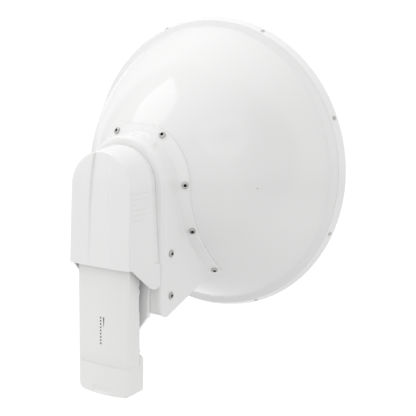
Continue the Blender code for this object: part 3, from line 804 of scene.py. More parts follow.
def underside_z(y):
    """Height of the housing's lower end at a depth, with a large round where it meets the back."""
    run = UNDERSIDE_REAR - UNDERSIDE_FRONT
    slope = run.y / run.x
    lean = math.hypot(1.0, slope)
    centre_y = HOUSING_BACK_Y + REAR_CORNER_ROUND
    centre_z = UNDERSIDE_FRONT.y + (centre_y - UNDERSIDE_FRONT.x) * slope + REAR_CORNER_ROUND * lean
    if y > centre_y + REAR_CORNER_ROUND * slope / lean:
        return UNDERSIDE_FRONT.y + (y - UNDERSIDE_FRONT.x) * slope
    drop = max(REAR_CORNER_ROUND ** 2 - (y - centre_y) ** 2, 0.0)
    return centre_z - math.sqrt(drop)


def flange_y(w, z, offset):
    """Depth of the surface that lies an offset behind the bowl, at a place on the flange."""
    radius = math.hypot(w, z)
    return bowl_y(radius) - offset * math.hypot(1.0, radius / (2 * FOCAL_LENGTH))


def housing_wall(z):
    """Outer and inner outline of the wall at a height, as (w, y) from the back to the flange."""
    flat = HOUSING_HALF_WIDTH - HOUSING_EDGE_ROUND
    inside = HOUSING_HALF_WIDTH - HOUSING_WALL
    centre_y = HOUSING_BACK_Y + HOUSING_EDGE_ROUND
    outer = [(flat - SUPPORT, HOUSING_BACK_Y)]
    inner = [(flat - SUPPORT, HOUSING_BACK_Y + HOUSING_WALL)]
    for rise, run in quarter(ROUND_STEPS):
        for line, radius in ((outer, HOUSING_EDGE_ROUND), (inner, HOUSING_EDGE_ROUND - HOUSING_WALL)):
            line.append((flat + radius * rise, centre_y - radius * run))
    rear = GAP + FLANGE_THICKNESS
    turn = math.pi / 2 - math.atan(HOUSING_HALF_WIDTH / (2 * FOCAL_LENGTH))
    foot_y = flange_y(HOUSING_HALF_WIDTH, z, rear) - FILLET * math.tan(turn / 2)
    for y in (centre_y + SUPPORT, foot_y - SUPPORT):
        outer.append((HOUSING_HALF_WIDTH, y))
        inner.append((inside, y))
    inside_y = flange_y(inside, z, GAP)
    for step in range(ROUND_STEPS + 1):
        share = step / ROUND_STEPS
        angle = turn * share
        out = HOUSING_HALF_WIDTH + FILLET * (1 - math.cos(angle))
        outer.append((out, foot_y + FILLET * math.sin(angle)))
        inner.append((inside, foot_y + share * (inside_y - foot_y)))
    start = outer[-1][0]
    end = FLANGE_HALF_WIDTH - FLANGE_EDGE_ROUND
    for w in spread(start, end - start, FLANGE_STEPS, 1):
        outer.append((w, flange_y(w, z, rear)))
        inner.append((w, flange_y(w, z, GAP)))
    edge_y = outer[-1][1]
    for rise, run in quarter(EDGE_STEPS, 1):
        w = end + FLANGE_EDGE_ROUND * rise
        outer.append((w, edge_y + FLANGE_EDGE_ROUND * (1 - run)))
        inner.append((w, flange_y(w, z, GAP)))
    return outer, inner


def side_point(side, index, share):
    """Place of one outline point on the right side plate, a share of the way down."""
    z = share * UNDERSIDE_FRONT.y
    for _ in range(FIT_ROUNDS):
        w, y = housing_wall(z)[side][index]
        z = share * underside_z(y)
    return Vector((w, y, z))


def mirrored(points):
    return [Vector((-x, y, z)) for x, y, z in points]


def end_chain(outer, inner):
    """Points across the wall's lower end, from its outer to its inner surface."""
    points = [outer]
    for step in range(1, END_STEPS):
        place = outer.lerp(inner, step / END_STEPS)
        place.z = underside_z(place.y)
        points.append(place)
    return points + [inner]


def bolt_seats():
    """Round tools that sink a shallow seat under each side bolt."""
    bm = bmesh.new()
    for sign in (1, -1):
        for z in SIDE_BOLT_Z:
            place = Matrix.Translation((sign * HOUSING_HALF_WIDTH, SIDE_BOLT_Y, z))
            bmesh.ops.create_cone(
                bm,
                cap_ends=True,
                segments=HEAD_SIDES,
                radius1=BOLT_SEAT_RADIUS,
                radius2=BOLT_SEAT_RADIUS,
                depth=2 * BOLT_SEAT_DEPTH,
                matrix=place @ Matrix.Rotation(math.pi / 2, 4, "Y"),
            )
    return closed_mesh(bm)


def build_housing(plastic):
    """The arched housing, open below: a wall of even thickness that turns out into the flange."""
    count = len(housing_wall(0.0)[0])
    right = []
    for step in range(HOUSING_SIDE_STEPS, 0, -1):
        share = step / HOUSING_SIDE_STEPS
        right.append([[side_point(side, index, share) for index in range(count)] for side in (0, 1)])
    arch = []
    for step in range(ARCH_STEPS + 1):
        arm = spoke(math.pi * step / ARCH_STEPS)
        arch.append([[arm * w + Vector((0.0, y, 0.0)) for w, y in line] for line in housing_wall(0.0)])
    left = [[mirrored(line) for line in station] for station in reversed(right)]
    stations = right + arch + left
    pairs = list(zip(stations, stations[::-1]))[:len(stations) // 2 + 1]
    ends = (stations[0], stations[-1])
    grids = [[outer + inner[::-1] for outer, inner in stations]]
    grids += [[[a[side][0], b[side][0]] for a, b in pairs] for side in (0, 1)]
    grids += [[end_chain(a, b) for a, b in zip(*end)] for end in ends]
    grids.append([end_chain(outer[0], inner[0]) for outer, inner in ends])
    mesh = cut_away(skinned(*grids), bolt_seats())
    place_piece("housing_moulding", mesh, ["rear_housing"], plastic)


def cover_front(z):
    return COVER_FRONT_Y_AT_AXIS + COVER_FRONT_LEAN * z


def cover_bottom(y):
    """Lower edge of the cover's side at a depth: level, a slope down, then a rounded rear tip."""
    if y <= COVER_SLOPE_END.x:
        run = COVER_SLOPE_END - COVER_SLOPE_START
        past = y - COVER_SLOPE_START.x
        if abs(past) < COVER_SLOPE_BLEND:
            past = (past + COVER_SLOPE_BLEND) ** 2 / (4 * COVER_SLOPE_BLEND)
        return COVER_SLOPE_START.y + max(past, 0.0) * run.y / run.x
    if y <= COVER_TIP_Y:
        share = (y - COVER_SLOPE_END.x) / (COVER_TIP_Y - COVER_SLOPE_END.x)
        return COVER_SLOPE_END.y + math.sin(share * math.pi / 2) * (COVER_TIP_BOTTOM_Z - COVER_SLOPE_END.y)
    share = (y - COVER_TIP_Y) / (COVER_REAR_Y - COVER_TIP_Y)
    return COVER_TIP_BOTTOM_Z + COVER_TIP_RISE * share * share


def cover_half_width(share, z):
    """Half-width of the cover: share runs from 0 at the housing to 1 at the front face."""
    flare = way(z, 0.0, COVER_FLARE_END_Z)
    rear = COVER_REAR_ARCH + flare * (COVER_REAR_FOOT_HALF - COVER_REAR_ARCH)
    front = COVER_FRONT_ARCH + flare * (COVER_FRONT_FOOT_HALF - COVER_FRONT_ARCH)
    return rear + share * (front - rear)


def strip_half(z):
    """Half-width of the sunk strip at a height: it narrows towards the top."""
    up = way(z, STRIP_NARROW_Z, STRIP_TOP_Z)
    return STRIP_HALF + up * (STRIP_TOP_HALF - STRIP_HALF)


def strip_cut(x, z):
    """How deep the sunk strip down the middle of the front face lies at a place."""
    up = way(z, STRIP_FOOT_Z, STRIP_TOP_Z)
    depth = STRIP_FOOT_DEPTH + up * (STRIP_TOP_DEPTH - STRIP_FOOT_DEPTH)
    half = strip_half(z)
    return depth * (1 - ramp(abs(x), half, half + STRIP_WALL))


def cover_depth(step, z, wall):
    """Depth and inward offset of one section of the cover at a height.

    Steps 0 to 1 are the band at the rear edge, 1 to 2 the side and 2 to 3 the front edge.
    """
    front = cover_front(z) + wall
    edge = COVER_INSIDE_ROUND if wall else COVER_EDGE_ROUND
    side_start = BAND_FRONT_Y - SHOULDER_RUN
    if step <= 1.0:
        return COVER_REAR_Y + step * (side_start - COVER_REAR_Y), 0.0
    if step <= 2.0:
        return side_start + (step - 1) * (front + edge - side_start), 0.0
    angle = (step - 2) * math.pi / 2
    return front + edge * (1 - math.sin(angle)), edge * (1 - math.cos(angle))


def cover_relief(y, z):
    """How far the side lies inside its plain form: the rear band and the six side lines."""
    above_end = ramp(z, BAND_END_Z, BAND_END_Z + BAND_END_RAMP)
    shoulder = SHOULDER_RISE * ramp(y, BAND_FRONT_Y - SHOULDER_RUN, BAND_FRONT_Y)
    band = (BAND_DEPTH + SHOULDER_RISE) * ramp(y, BAND_FRONT_Y, BAND_FRONT_Y + BAND_RAMP)
    lean = BAND_LEAN * max(y - BAND_FRONT_Y, 0.0)
    depth = (band + lean - shoulder) * above_end
    for index in range(LINE_COUNT):
        middle = LINE_FIRST_Z - index * LINE_PITCH
        rear = LINE_REAR_Y + index * LINE_REAR_SHIFT
        if abs(z - middle) < LINE_WIDTH / 4:
            run = ramp(y, LINE_FRONT_Y, LINE_FRONT_Y + LINE_RAMP) * (1 - ramp(y, rear - LINE_RAMP, rear))
            depth += LINE_DEPTH * run
    return depth


def cover_levels():
    """Heights of the points down the side, close together at the lines."""
    levels = []
    for index in range(LINE_COUNT):
        middle = LINE_FIRST_Z - index * LINE_PITCH
        levels += [middle + share * LINE_WIDTH for share in LINE_ROW_SHARES]
        levels.append(middle - LINE_PITCH / 2)
    z = levels[-1] - COVER_LEVEL_STEP
    while z > BAND_END_Z + COVER_LEVEL_STEP / 2:
        levels.append(z)
        z -= COVER_LEVEL_STEP
    return levels + [BAND_END_Z + BAND_END_RAMP * (1 - step / EDGE_STEPS) for step in range(EDGE_STEPS + 1)]


def cover_place(step, wall, z):
    """Depth, share of the cover's depth and inward offset at a section and a height."""
    y, inset = cover_depth(step, z, wall)
    share = min((COVER_REAR_Y - y) / (COVER_REAR_Y - cover_front(z)), 1.0)
    relief = 0.0 if wall else cover_relief(y, z)
    return y, share, inset + wall + relief


def strip_shift(x, y, z, wall):
    """Push a point back where the sunk strip crosses the front edge."""
    front = cover_front(z)
    fade = 1 - ramp(y, front + COVER_EDGE_ROUND, front + STRIP_FADE_DEPTH)
    return strip_cut(x, z) * fade * (STRIP_INSIDE_SHARE if wall else 1.0)


def cover_section(step, wall):
    """One section of the cover, from the left foot over the arch to the right foot."""
    bottom = COVER_SLOPE_START.y
    for _ in range(FIT_ROUNDS):
        bottom = cover_bottom(cover_depth(step, bottom, wall)[0])
    foot = [BAND_END_Z + (bottom - BAND_END_Z) * (1 - i / COVER_FOOT_STEPS) for i in range(COVER_FOOT_STEPS)]
    left = []
    for z in foot + cover_levels()[::-1]:
        y, share, inset = cover_place(step, wall, z)
        left.append(Vector((inset - cover_half_width(share, z), y, z)))
    over = []
    for index in range(COVER_ARCH_STEPS + 1):
        angle = math.pi * (1 - index / COVER_ARCH_STEPS)
        y, share, inset = cover_place(step, wall, COVER_FRONT_ARCH * math.sin(angle))
        radius = COVER_REAR_ARCH + share * (COVER_FRONT_ARCH - COVER_REAR_ARCH) - inset
        over.append(Vector((radius * math.cos(angle), y, radius * math.sin(angle))))
    line = left + over + mirrored(left[::-1])
    for point in line:
        point.y += strip_shift(point.x, point.y, point.z, wall)
    return line


def face_row(edge, right, depth):
    """A row across a front face, between a point of its edge and the mirrored one.

    Right lists the columns from the middle outwards, and depth gives the face's y at a column.
    """
    width = abs(edge.x)
    columns = [min(x, width) for x in right] + [width]
    row = [Vector((x, depth(x), edge.z)) for x in [-x for x in columns[:0:-1]] + columns]
    row[0].y = edge.y
    row[-1].y = edge.y
    return row


def cover_face_row(edge, wall):
    """A row across the cover's front, with columns close together at the sunk strip."""
    z = edge.z
    full = cover_half_width(1.0, z) - (COVER_INSIDE_ROUND if wall else COVER_EDGE_ROUND) - wall
    half = strip_half(z)
    right = spread(0.0, half, STRIP_COLUMNS) + spread(half, STRIP_WALL, STRIP_WALL_COLUMNS, 1)
    right += spread(right[-1], full - right[-1], FACE_COLUMNS, 1)[:-1]

    def depth(x):
        away = min((x * x + max(z, 0.0) ** 2) / (full * full), 1.0)
        cut = strip_cut(x, z) * (STRIP_INSIDE_SHARE if wall else 1.0)
        return cover_front(z) + wall - COVER_CROWN * (1 - away) + cut

    return face_row(edge, right, depth)


def cover_surface(wall):
    """The side grid and the front grid of one surface of the cover, and its lower edge."""
    rear_run = COVER_REAR_Y - BAND_FRONT_Y + SHOULDER_RUN
    band = (COVER_REAR_Y - BAND_FRONT_Y) / rear_run
    ramp_run = BAND_RAMP / rear_run
    steps = spread(0, band - ramp_run, COVER_REAR_STEPS)[:-1]
    steps += [band - ramp_run * (1 - step / EDGE_STEPS) for step in range(EDGE_STEPS)]
    steps += spread(band, 1 - band, EDGE_STEPS)
    steps += spread(1, 1, COVER_DEPTH_STEPS, 1) + spread(2, 1, COVER_EDGE_STEPS, 1)
    sections = [cover_section(step, wall) for step in steps]
    edge = sections[-1]
    face = [cover_face_row(point, wall) for point in edge[:len(edge) // 2 + 1]]
    foot = [section[0] for section in sections] + face[0][1:-1]
    return sections, face, foot + [section[-1] for section in reversed(sections)]


def build_cover(plastic):
    """The round-topped cover over the radio with its fine side lines, open below."""
    sides, face, foot = cover_surface(0.0)
    inner_sides, inner_face, inner_foot = cover_surface(COVER_WALL)
    rims = ([sides[0], inner_sides[0]], [foot, inner_foot])
    mesh = skinned(sides, face, inner_sides, inner_face, *rims)
    place_piece("cover_moulding", mesh, ["radio_cover"], plastic)


def radio_front(x):
    return RADIO_FRONT_Y - RADIO_CROWN * (1 - (x / RADIO_CROWN_HALF) ** 2)


def radio_half(ear_y, inset):
    """Right half of the radio's plan, from the middle of its back to the middle of its front."""
    side = RADIO_HALF_WIDTH - RADIO_CREASE
    crown = [RADIO_CROWN_HALF * CROWN_SHARE * (1 - step / CROWN_STEPS) for step in range(CROWN_STEPS + 1)]
    corners = [(0.0, RADIO_BACK_Y), (RADIO_EAR_HALF, RADIO_BACK_Y), (RADIO_EAR_HALF, ear_y), (side, ear_y)]
    corners += [(RADIO_HALF_WIDTH, RADIO_CREASE_Y), (side, radio_front(side))]
    corners += [(x, radio_front(x)) for x in crown]
    radii = [0, 0, RADIO_EAR_ROUND, 0, RADIO_CORNER] + [0] * len(crown)
    middle = Vector((0.0, RADIO_CREASE_Y))
    shrink = Vector((1 - inset / RADIO_HALF_WIDTH, 1 - inset / (RADIO_BACK_Y - RADIO_CREASE_Y)))
    points = rounded(corners, radii)
    return [middle + Vector(((p.x - middle.x) * shrink.x, (p.y - middle.y) * shrink.y)) for p in points]


def build_radio_shell(plastic):
    """The radio's front shell, with a faint crease down its sides and small steps at its back."""
    levels = []
    for rise, run in quarter(EDGE_STEPS):
        z = RADIO_TOP_Z - SHELL_TOP_ROUND * (1 - run)
        levels.append((z, SHELL_TOP_ROUND * (1 - rise), RADIO_BACK_Y))
    for top, bottom, ear_y in EAR_STEPS:
        for z in (top + EAR_RAMP, top, bottom, bottom - EAR_RAMP):
            levels.append((z, 0.0, ear_y if top >= z >= bottom else RADIO_BACK_Y))
    rows = [[Vector((x, y, z)) for x, y in radio_half(ear_y, inset)] for z, inset, ear_y in levels]
    plain = radio_half(RADIO_BACK_Y, 0.0)
    drawn_in = radio_half(RADIO_BACK_Y, SEAM_ROUND)
    for rise, run in quarter(EDGE_STEPS):
        row = []
        for full, small in zip(plain, drawn_in):
            place = full.lerp(small, (1 - run) * (1 - ramp(full.y, *SEAM_END_Y)))
            row.append(Vector((*place, RADIO_SEAM_Z + SEAM_GAP + SEAM_ROUND * (1 - rise))))
        rows.append(row)
    ends = [[half, mirrored(half)] for half in (rows[0], rows[-1])]
    mesh = skinned([half + mirrored(half[::-1]) for half in rows], *ends)
    place_piece("radio_front_shell", mesh, ["radio_shell"], plastic)


def latch_cut(x, z):
    """How far the latch's thumb rest lies back at a place on the cap's front."""
    down = ramp(-z, -LATCH_TOP_Z, -LATCH_LIP_Z)
    lip = 1 - ramp(-z, -LATCH_LIP_Z, -LATCH_LIP_Z + LATCH_LIP_RUN)
    return LATCH_DEPTH * down * lip * (1 - ramp(abs(x), LATCH_HALF, LATCH_HALF + LATCH_SIDE_RUN))


def cap_outline():
    """Right half of the cap's front view with inward directions, from its top to the middle."""
    corner = CAP_CORNER_RADIUS
    centre = Vector((RADIO_HALF_WIDTH - corner, CAP_BOTTOM_Z + corner))
    levels = [CAP_FOOT_TOP_Z, CAP_FOOT_TOP_Z - CAP_FOOT_CHAMFER, RADIO_SEAM_Z, LATCH_TOP_Z]
    levels += [LATCH_TOP_Z - LATCH_ROW_STEP * step for step in range(1, LATCH_ROWS + 1)]
    points = [(Vector((RADIO_HALF_WIDTH, z)), Vector((-1.0, 0.0))) for z in levels]
    for rise, run in quarter(CAP_CORNER_STEPS):
        out = Vector((run, -rise))
        points.append((centre + out * corner, -out))
    for step in range(1, CAP_SAG_STEPS + 1):
        share = 1 - step / CAP_SAG_STEPS
        z = CAP_BOTTOM_Z - CAP_BOTTOM_SAG * (1 - share * share)
        points.append((Vector((centre.x * share, z)), Vector((0.0, 1.0))))
    return points


def cap_back(z):
    """Depth of the cap's back at a height, with the chamfer at the top of its foot."""
    return CAP_BACK_Y - max(z - (CAP_FOOT_TOP_Z - CAP_FOOT_CHAMFER), 0.0)


def cap_ring(step):
    """One ring round the cap: 0 to 1 is the front edge, 1 to 2 the sides, 2 to 3 the back edge."""
    half = []
    for place, inward in cap_outline():
        upright = abs(inward.x)
        edge = CAP_EDGE_ROUND + (RADIO_CORNER - CAP_EDGE_ROUND) * upright
        front = radio_front(min(place.x, RADIO_CROWN_HALF)) + latch_cut(place.x, place.y)
        back = cap_back(place.y)
        if step <= 1:
            angle = math.pi / 2 * (1 - step)
            y = front + edge * (1 - math.sin(angle))
            inset = edge * (1 - math.cos(angle))
        elif step <= 2:
            y = front + edge + (back - CAP_BACK_ROUND - front - edge) * (step - 1)
            inset = 0.0
        else:
            angle = math.pi / 2 * (step - 2)
            y = back - CAP_BACK_ROUND * (1 - math.sin(angle))
            inset = CAP_BACK_ROUND * (1 - math.cos(angle))
        lean = min(abs(y - RADIO_CREASE_Y) / (RADIO_CREASE_Y - RADIO_FRONT_Y), 1.0)
        point = place + inward * (inset + RADIO_CREASE * lean * upright)
        half.append(Vector((point.x, y, point.y)))
    return half + mirrored(half[::-1])


def cap_face_row(edge):
    """A row across the cap's front, with columns close together at the sides of the latch."""
    right = spread(0.0, LATCH_HALF, LATCH_COLUMNS) + spread(LATCH_HALF, LATCH_SIDE_RUN, EDGE_STEPS, 1)
    rest = RADIO_HALF_WIDTH - RADIO_CORNER - right[-1]
    right += spread(right[-1], rest, FACE_COLUMNS, 1)[:-1]
    return face_row(edge, right, lambda x: radio_front(x) + latch_cut(x, edge.z))


def build_bottom_cap(plastic):
    """The cap at the radio's lower end, with its foot behind the shell and a thumb latch."""
    steps = spread(0, 1, CAP_ROUND_STEPS) + spread(1, 1, CAP_SIDE_STEPS, 1)
    rings = [cap_ring(step) for step in steps + spread(2, 1, CAP_ROUND_STEPS, 1)]
    bm = bmesh.new()
    skin(bm, rings)
    middle = len(rings[0]) // 2
    face = [cap_face_row(point) for point in rings[0][:middle]]
    skin(bm, face)
    back = rings[-1]
    skin(bm, [[a, b] for a, b in zip(back[:middle], back[::-1])])
    top = face[0] + [ring[0] for ring in rings[1:]] + [ring[-1] for ring in reversed(rings[1:])]
    bm.faces.new([bm.verts.new(point) for point in top])
    room = bmesh.new()
    bmesh.ops.create_cube(room, size=1.0)
    size = Vector((4 * RADIO_HALF_WIDTH, 2 * RADIO_HALF_WIDTH, 2 * RADIO_HALF_WIDTH))
    place = Vector((0.0, RADIO_BACK_Y + SEAM_GAP - size.y / 2, RADIO_SEAM_Z + size.z / 2))
    placed = Matrix.Translation(place) @ Matrix.Diagonal((*size, 1.0))
    bmesh.ops.transform(room, matrix=placed, verts=room.verts)
    mesh = cut_away(closed_mesh(bm), closed_mesh(room))
    place_piece("radio_lower_cap", mesh, ["radio_bottom_cap"], plastic)


def rounded_box(size, edge):
    """A box with rounded edges round the origin."""
    bm = bmesh.new()
    bmesh.ops.create_cube(bm, size=1.0)
    bmesh.ops.transform(bm, matrix=Matrix.Diagonal((*size, 1.0)), verts=bm.verts)
    bmesh.ops.bevel(bm, geom=bm.edges[:], offset=edge, segments=2, profile=0.5, affect="EDGES")
    return closed_mesh(bm)


def build_indicators(lens, ink):
    """The column of square indicator lenses, and the printed wedge beside its upper end."""
    points = []
    for index in range(DOT_COUNT):
        place = Vector((DOT_X, radio_front(DOT_X), DOT_TOP_Z - index * DOT_PITCH))
        points.append((place, Vector((0.0, -1.0, 0.0))))
    dot = rounded_box((DOT_SIZE, DOT_SIZE, 2 * DOT_PROUD), DOT_ROUND)
    mesh = things_on_points(points, dot, 0.0, (lens, lens))
    place_piece("indicator_lenses", mesh, [])
    middle = sum(WEDGE_X) / 2
    outline = [(x, WEDGE_Z[0]) for x in WEDGE_X]
    outline += [(middle + WEDGE_FOOT_HALF, WEDGE_Z[1]), (middle - WEDGE_FOOT_HALF, WEDGE_Z[1])]
    layers = []
    for lift in WEDGE_LIFTS:
        layers.append([Vector((x, radio_front(x) - lift, z)) for x, z in outline + outline[:1]])
    faces = [[layer[:2], [layer[3], layer[2]]] for layer in layers]
    place_piece("printed_wedge", skinned(layers, *faces), [], ink)


def rib_tree():
    """A tree that sets equal ribs in a row on a base and joins them with it."""
    kinds = {
        "Base": "Geometry",
        "Rib": "Object",
        "Rib Count": "Int",
        "First Rib": "Vector",
        "Pitch": "Vector",
        "Finish": "Material",
    }
    tree, given = new_tree("ribs_in_a_row", kinds)
    row = {"Count": given["Rib Count"], "Start Location": given["First Rib"], "Offset": given["Pitch"]}
    line = add_node(tree, "GeometryNodeMeshLine", row)
    rib = add_node(tree, "GeometryNodeObjectInfo", {"Object": given["Rib"]}).outputs["Geometry"]
    placed = add_node(tree, "GeometryNodeInstanceOnPoints", {"Points": line, "Instance": rib})
    joined = add_node(tree, "GeometryNodeJoinGeometry", {"Geometry": given["Base"]})
    tree.links.new(placed.outputs["Instances"], joined.inputs["Geometry"])
    add_node(tree, "NodeGroupOutput", {"Shape": dressed(tree, joined, given["Finish"])})
    return tree


def build_heat_sink(casting):
    """The radio's cast back: a slab with cross ribs that reach to the mounting plate."""
    front = RADIO_BACK_Y + GAP
    tip = HOUSING_BACK_Y - PLATE_THICKNESS - 3 * GAP
    height = SINK_TOP_Z - SINK_BOTTOM_Z
    count = int((height - FIN_THICKNESS) / FIN_PITCH) + 1
    last = SINK_TOP_Z - (count - 1) * FIN_PITCH - FIN_THICKNESS
    slab = rounded_box((2 * SINK_HALF_WIDTH, SINK_BASE, SINK_TOP_Z - last), SINK_ROUND)
    slab.transform(Matrix.Translation((0.0, front + SINK_BASE / 2, (SINK_TOP_Z + last) / 2)))
    length = tip - front - SINK_BASE + SINK_BASE / 2
    rib = rounded_box((2 * SINK_HALF_WIDTH, length, FIN_THICKNESS), FIN_ROUND)
    for vertex in rib.vertices:
        along = vertex.co.y / length + 0.5
        vertex.co.z *= 1 + along * (FIN_TIP_THICKNESS / FIN_THICKNESS - 1)
    values = {
        "Rib": add_object("rib", rib),
        "Rib Count": count,
        "First Rib": (0.0, tip - length / 2, SINK_TOP_Z - FIN_THICKNESS / 2),
        "Pitch": (0.0, 0.0, -FIN_PITCH),
        "Finish": casting,
    }
    mesh = run_tree(slab, rib_tree(), values)
    place_piece("cast_heat_sink", mesh, ["radio_heat_sink"])


def build_mount_plate(plastic):
    """The plate between the radio and the housing, with rounded edges and cut lower corners."""
    rear = HOUSING_BACK_Y - GAP
    front = rear - PLATE_THICKNESS
    half = rounded(
        [
            (0.0, PLATE_TOP_Z),
            (PLATE_HALF_WIDTH, PLATE_TOP_Z),
            *PLATE_WAIST,
            (PLATE_HALF_WIDTH, PLATE_CHAMFER_Z),
            (PLATE_BOTTOM_HALF, PLATE_BOTTOM_Z),
            (0.0, PLATE_BOTTOM_Z),
        ],
        [PLATE_CORNER] + [PLATE_WAIST_ROUND] * len(PLATE_WAIST) + [PLATE_CORNER, PLATE_CORNER],
    )
    outline = half[:-1] + [Vector((-x, z)) for x, z in half[::-1]][:-1]
    bm = bmesh.new()
    face = bm.faces.new([bm.verts.new((x, front, z)) for x, z in outline])
    grown = bmesh.ops.extrude_face_region(bm, geom=[face])
    moved = [item for item in grown["geom"] if isinstance(item, bmesh.types.BMVert)]
    bmesh.ops.translate(bm, verts=moved, vec=Vector((0.0, PLATE_THICKNESS, 0.0)))
    rims = [e for e in bm.edges if abs(e.verts[0].co.y - e.verts[1].co.y) < SAME_PLACE]
    bmesh.ops.bevel(bm, geom=rims, offset=PLATE_EDGE_ROUND, segments=3, profile=0.5, affect="EDGES")
    place_piece("mounting_plate", closed_mesh(bm), ["radio_mount_plate"], plastic)


def add_camera():
    """The photograph's camera: behind the dish, to its right and a little above it."""
    data = bpy.data.cameras.new("camera")
    data.lens = CAMERA_LENS
    camera = add_object("camera", data)
    turn = Matrix.Rotation(CAMERA_YAW, 4, "Z") @ Matrix.Rotation(math.pi / 2 - CAMERA_PITCH, 4, "X")
    turn = turn @ Matrix.Rotation(CAMERA_ROLL, 4, "Z")
    camera.matrix_world = Matrix.Translation(CAMERA_PLACE + DISH_CENTRE) @ turn
    bpy.context.scene.camera = camera


def add_floor(paper):
    """A wide white studio floor, well below the part."""
    bm = bmesh.new()
    bmesh.ops.create_grid(bm, x_segments=1, y_segments=1, size=FLOOR_HALF)
    bmesh.ops.translate(bm, verts=bm.verts, vec=Vector((0.0, 0.0, DISH_CENTRE.z + FLOOR_Z)))
    floor = add_object("floor", closed_mesh(bm))
    floor.data.materials.append(paper)
    floor.visible_diffuse = False
    floor.visible_glossy = False
    floor.visible_shadow = False


def aim(azimuth, elevation):
    """Direction at an azimuth from -Y towards +X and an elevation, both in degrees."""
    turn, rise = math.radians(azimuth), math.radians(elevation)
    return Vector((math.cos(rise) * math.sin(turn), -math.cos(rise) * math.cos(turn), math.sin(rise)))


def beyond(tree, direction, axis, low, high):
    """A soft step from 0 to 1, where the part of a direction along an axis goes from low to high."""
    along = add_node(tree, "ShaderNodeVectorMath", {0: direction, 1: axis}, operation="DOT_PRODUCT")
    limits = {"Value": along.outputs["Value"], "From Min": low, "From Max": high}
    return add_node(tree, "ShaderNodeMapRange", limits, interpolation_type="SMOOTHSTEP").outputs[0]


def panel(tree, direction, corners, softness, level):
    """Light of a panel that is seen between the directions of its corners."""
    seen = [aim(*corner) for corner in corners]
    middle = sum(seen, Vector())
    light = level
    for first, second in zip(seen, seen[1:] + seen[:1]):
        edge = first.cross(second).normalized()
        if edge.dot(middle) < 0:
            edge = -edge
        side = beyond(tree, direction, edge, -softness, softness)
        light = add_node(tree, "ShaderNodeMath", {0: light, 1: side}, operation="MULTIPLY")
    return light


def oval(tree, direction, azimuth, elevation, half_width, half_height, level):
    """Light of an oval patch of directions with a soft edge."""
    middle = aim(azimuth, elevation)
    across = Vector((0.0, 0.0, 1.0)).cross(middle).normalized()
    across.rotate(Matrix.Rotation(UMBRELLA_TILT, 3, middle))
    parts = {"X": across / half_width, "Y": middle.cross(across) / half_height, "Z": -middle}
    for label, axis in parts.items():
        along = add_node(tree, "ShaderNodeVectorMath", {0: direction, 1: axis}, operation="DOT_PRODUCT")
        parts[label] = along.outputs["Value"]
    parts["Z"] = add_node(tree, "ShaderNodeMath", {0: parts["Z"], 1: 1.0}, operation="ADD")
    place = add_node(tree, "ShaderNodeCombineXYZ", parts)
    edge = {
        "Value": add_node(tree, "ShaderNodeVectorMath", {0: place}, operation="LENGTH").outputs[1],
        "From Min": 1 - UMBRELLA_SOFTNESS,
        "From Max": 1 + UMBRELLA_SOFTNESS,
        "To Min": level,
        "To Max": 0.0,
    }
    return add_node(tree, "ShaderNodeMapRange", edge, interpolation_type="SMOOTHSTEP").outputs[0]


def surround(tree, direction):
    """Brightness of the white studio by height."""
    height = add_node(tree, "ShaderNodeSeparateXYZ", {"Vector": direction}).outputs["Z"]
    brightest = max(level for _, level in SURROUND_LEVELS)
    share = add_node(tree, "ShaderNodeMapRange", {"Value": height, "From Min": -1.0, "From Max": 1.0})
    shade = add_node(tree, "ShaderNodeValToRGB", {"Fac": share})
    stops = shade.color_ramp.elements
    while len(stops) < len(SURROUND_LEVELS):
        stops.new(1.0)
    for stop, (place, level) in zip(stops, SURROUND_LEVELS):
        stop.position = (place + 1) / 2
        stop.color = (*[level / brightest] * 3, 1.0)
    return add_node(tree, "ShaderNodeMath", {0: shade, 1: brightest}, operation="MULTIPLY")


def add_world():
    """Soft white studio light with a few panels that show in the glossy bowl."""
    world = bpy.data.worlds.new("studio")
    bpy.context.scene.world = world
    tree = empty_tree(world)
    direction = add_node(tree, "ShaderNodeTexCoord").outputs["Generated"]
    light = surround(tree, direction)
    parts = [panel(tree, direction, *shape) for shape in PANELS.values()]
    glow = beyond(tree, direction, aim(*KEY_GLOW), *KEY_GLOW_REACH)
    parts.append(add_node(tree, "ShaderNodeMath", {0: glow, 1: KEY_GLOW_LEVEL}, operation="MULTIPLY"))
    backdrop = BACKDROP_LEVEL
    for edge in BACKDROP_EDGES:
        side = beyond(tree, direction, edge, -BACKDROP_SOFTNESS, BACKDROP_SOFTNESS)
        backdrop = add_node(tree, "ShaderNodeMath", {0: backdrop, 1: side}, operation="MULTIPLY")
    parts.append(backdrop)
    for part in parts + [oval(tree, direction, *patch) for patch in UMBRELLA]:
        light = add_node(tree, "ShaderNodeMath", {0: light, 1: part}, operation="ADD")
    shine = add_node(tree, "ShaderNodeBackground", {"Color": light})
    add_node(tree, "ShaderNodeOutputWorld", {"Surface": shine})


TURNED_FROM_PROFILE = turned_tree()
SET_ON_POINTS = instance_tree()

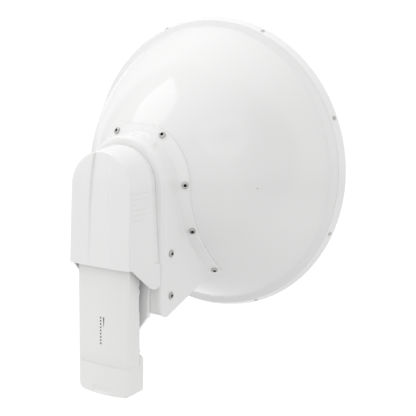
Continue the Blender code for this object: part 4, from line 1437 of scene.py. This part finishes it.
# Powder coat sprayed on the spun bowl: a wet gloss over a slight orange peel, with a speck of dust
paint = coated_surface(
    "gloss_white_powder_coat",
    ("EDEDED", "EBEBEA"),
    (0.3, 0.4),
    (3.0 * MM, 0.003 * MM),
    (1.0, 0.04, 0.1),
    (DUST_PLACE, DUST_SIZE, "6E6C6A"),
)
# ASA moulded in a polished tool: a satin skin that spreads the highlights
asa = coated_surface(
    "moulded_white_asa", ("F0F0F0", "EEEEED"), (0.26, 0.36), (1.2 * MM, 0.003 * MM), (0.8, 0.05, 0.5)
)
# ABS from an eroded tool: a dry, fine grain with hardly any reflection
abs_plastic = coated_surface("eroded_white_abs", ("EFEFEE", "EDEDEC"), (0.42, 0.52), (0.9 * MM, 0.006 * MM))
# Stainless steel, turned and tumbled: bright with a soft edge to its reflections
steel = bare_metal("tumbled_stainless_steel", ("CCCBC8", "BAB9B6"), (0.12, 0.24), (0.8 * MM, 0.004 * MM))
# The same steel with painted shade, for the bottom of a socket: near black that stands in for the shade deep
# in it
shadow = bare_metal("socket_steel_painted_shade", ("2A2A2A", "1C1C1C"), (0.4, 0.6), (0.8 * MM, 0.004 * MM))
# Aluminium as it leaves the die: grey, dull and faintly uneven
casting = bare_metal("die_cast_aluminium", ("D2D3D4", "C4C6C7"), (0.5, 0.65), (1.0 * MM, 0.02 * MM))
# Smoked acrylic of the unlit indicators, glossy and dark grey
lens = coated_surface("smoked_acrylic", ("6A6C6E", "5E6062"), (0.15, 0.2), (0.5 * MM, 0.0))
# Pad-printed ink, flat and grey
ink = coated_surface("printed_grey_ink", ("7A7C7E", "707274"), (0.5, 0.6), (0.5 * MM, 0.0))
# Uncoated white paper on the studio floor: matt, without a highlight
paper = coated_surface("white_studio_paper", ("FFFFFF", "FCFCFC"), (0.85, 0.95), (4.0 * MM, 0.02 * MM))

build_reflector(paint)
build_radome(asa)
build_housing(asa)
build_screws(steel, shadow)
build_cover(asa)
build_radio_shell(abs_plastic)
build_bottom_cap(abs_plastic)
build_indicators(lens, ink)
build_heat_sink(casting)
build_mount_plate(asa)

add_camera()
add_floor(paper)
add_world()
bpy.context.scene.view_settings.view_transform = "Standard"
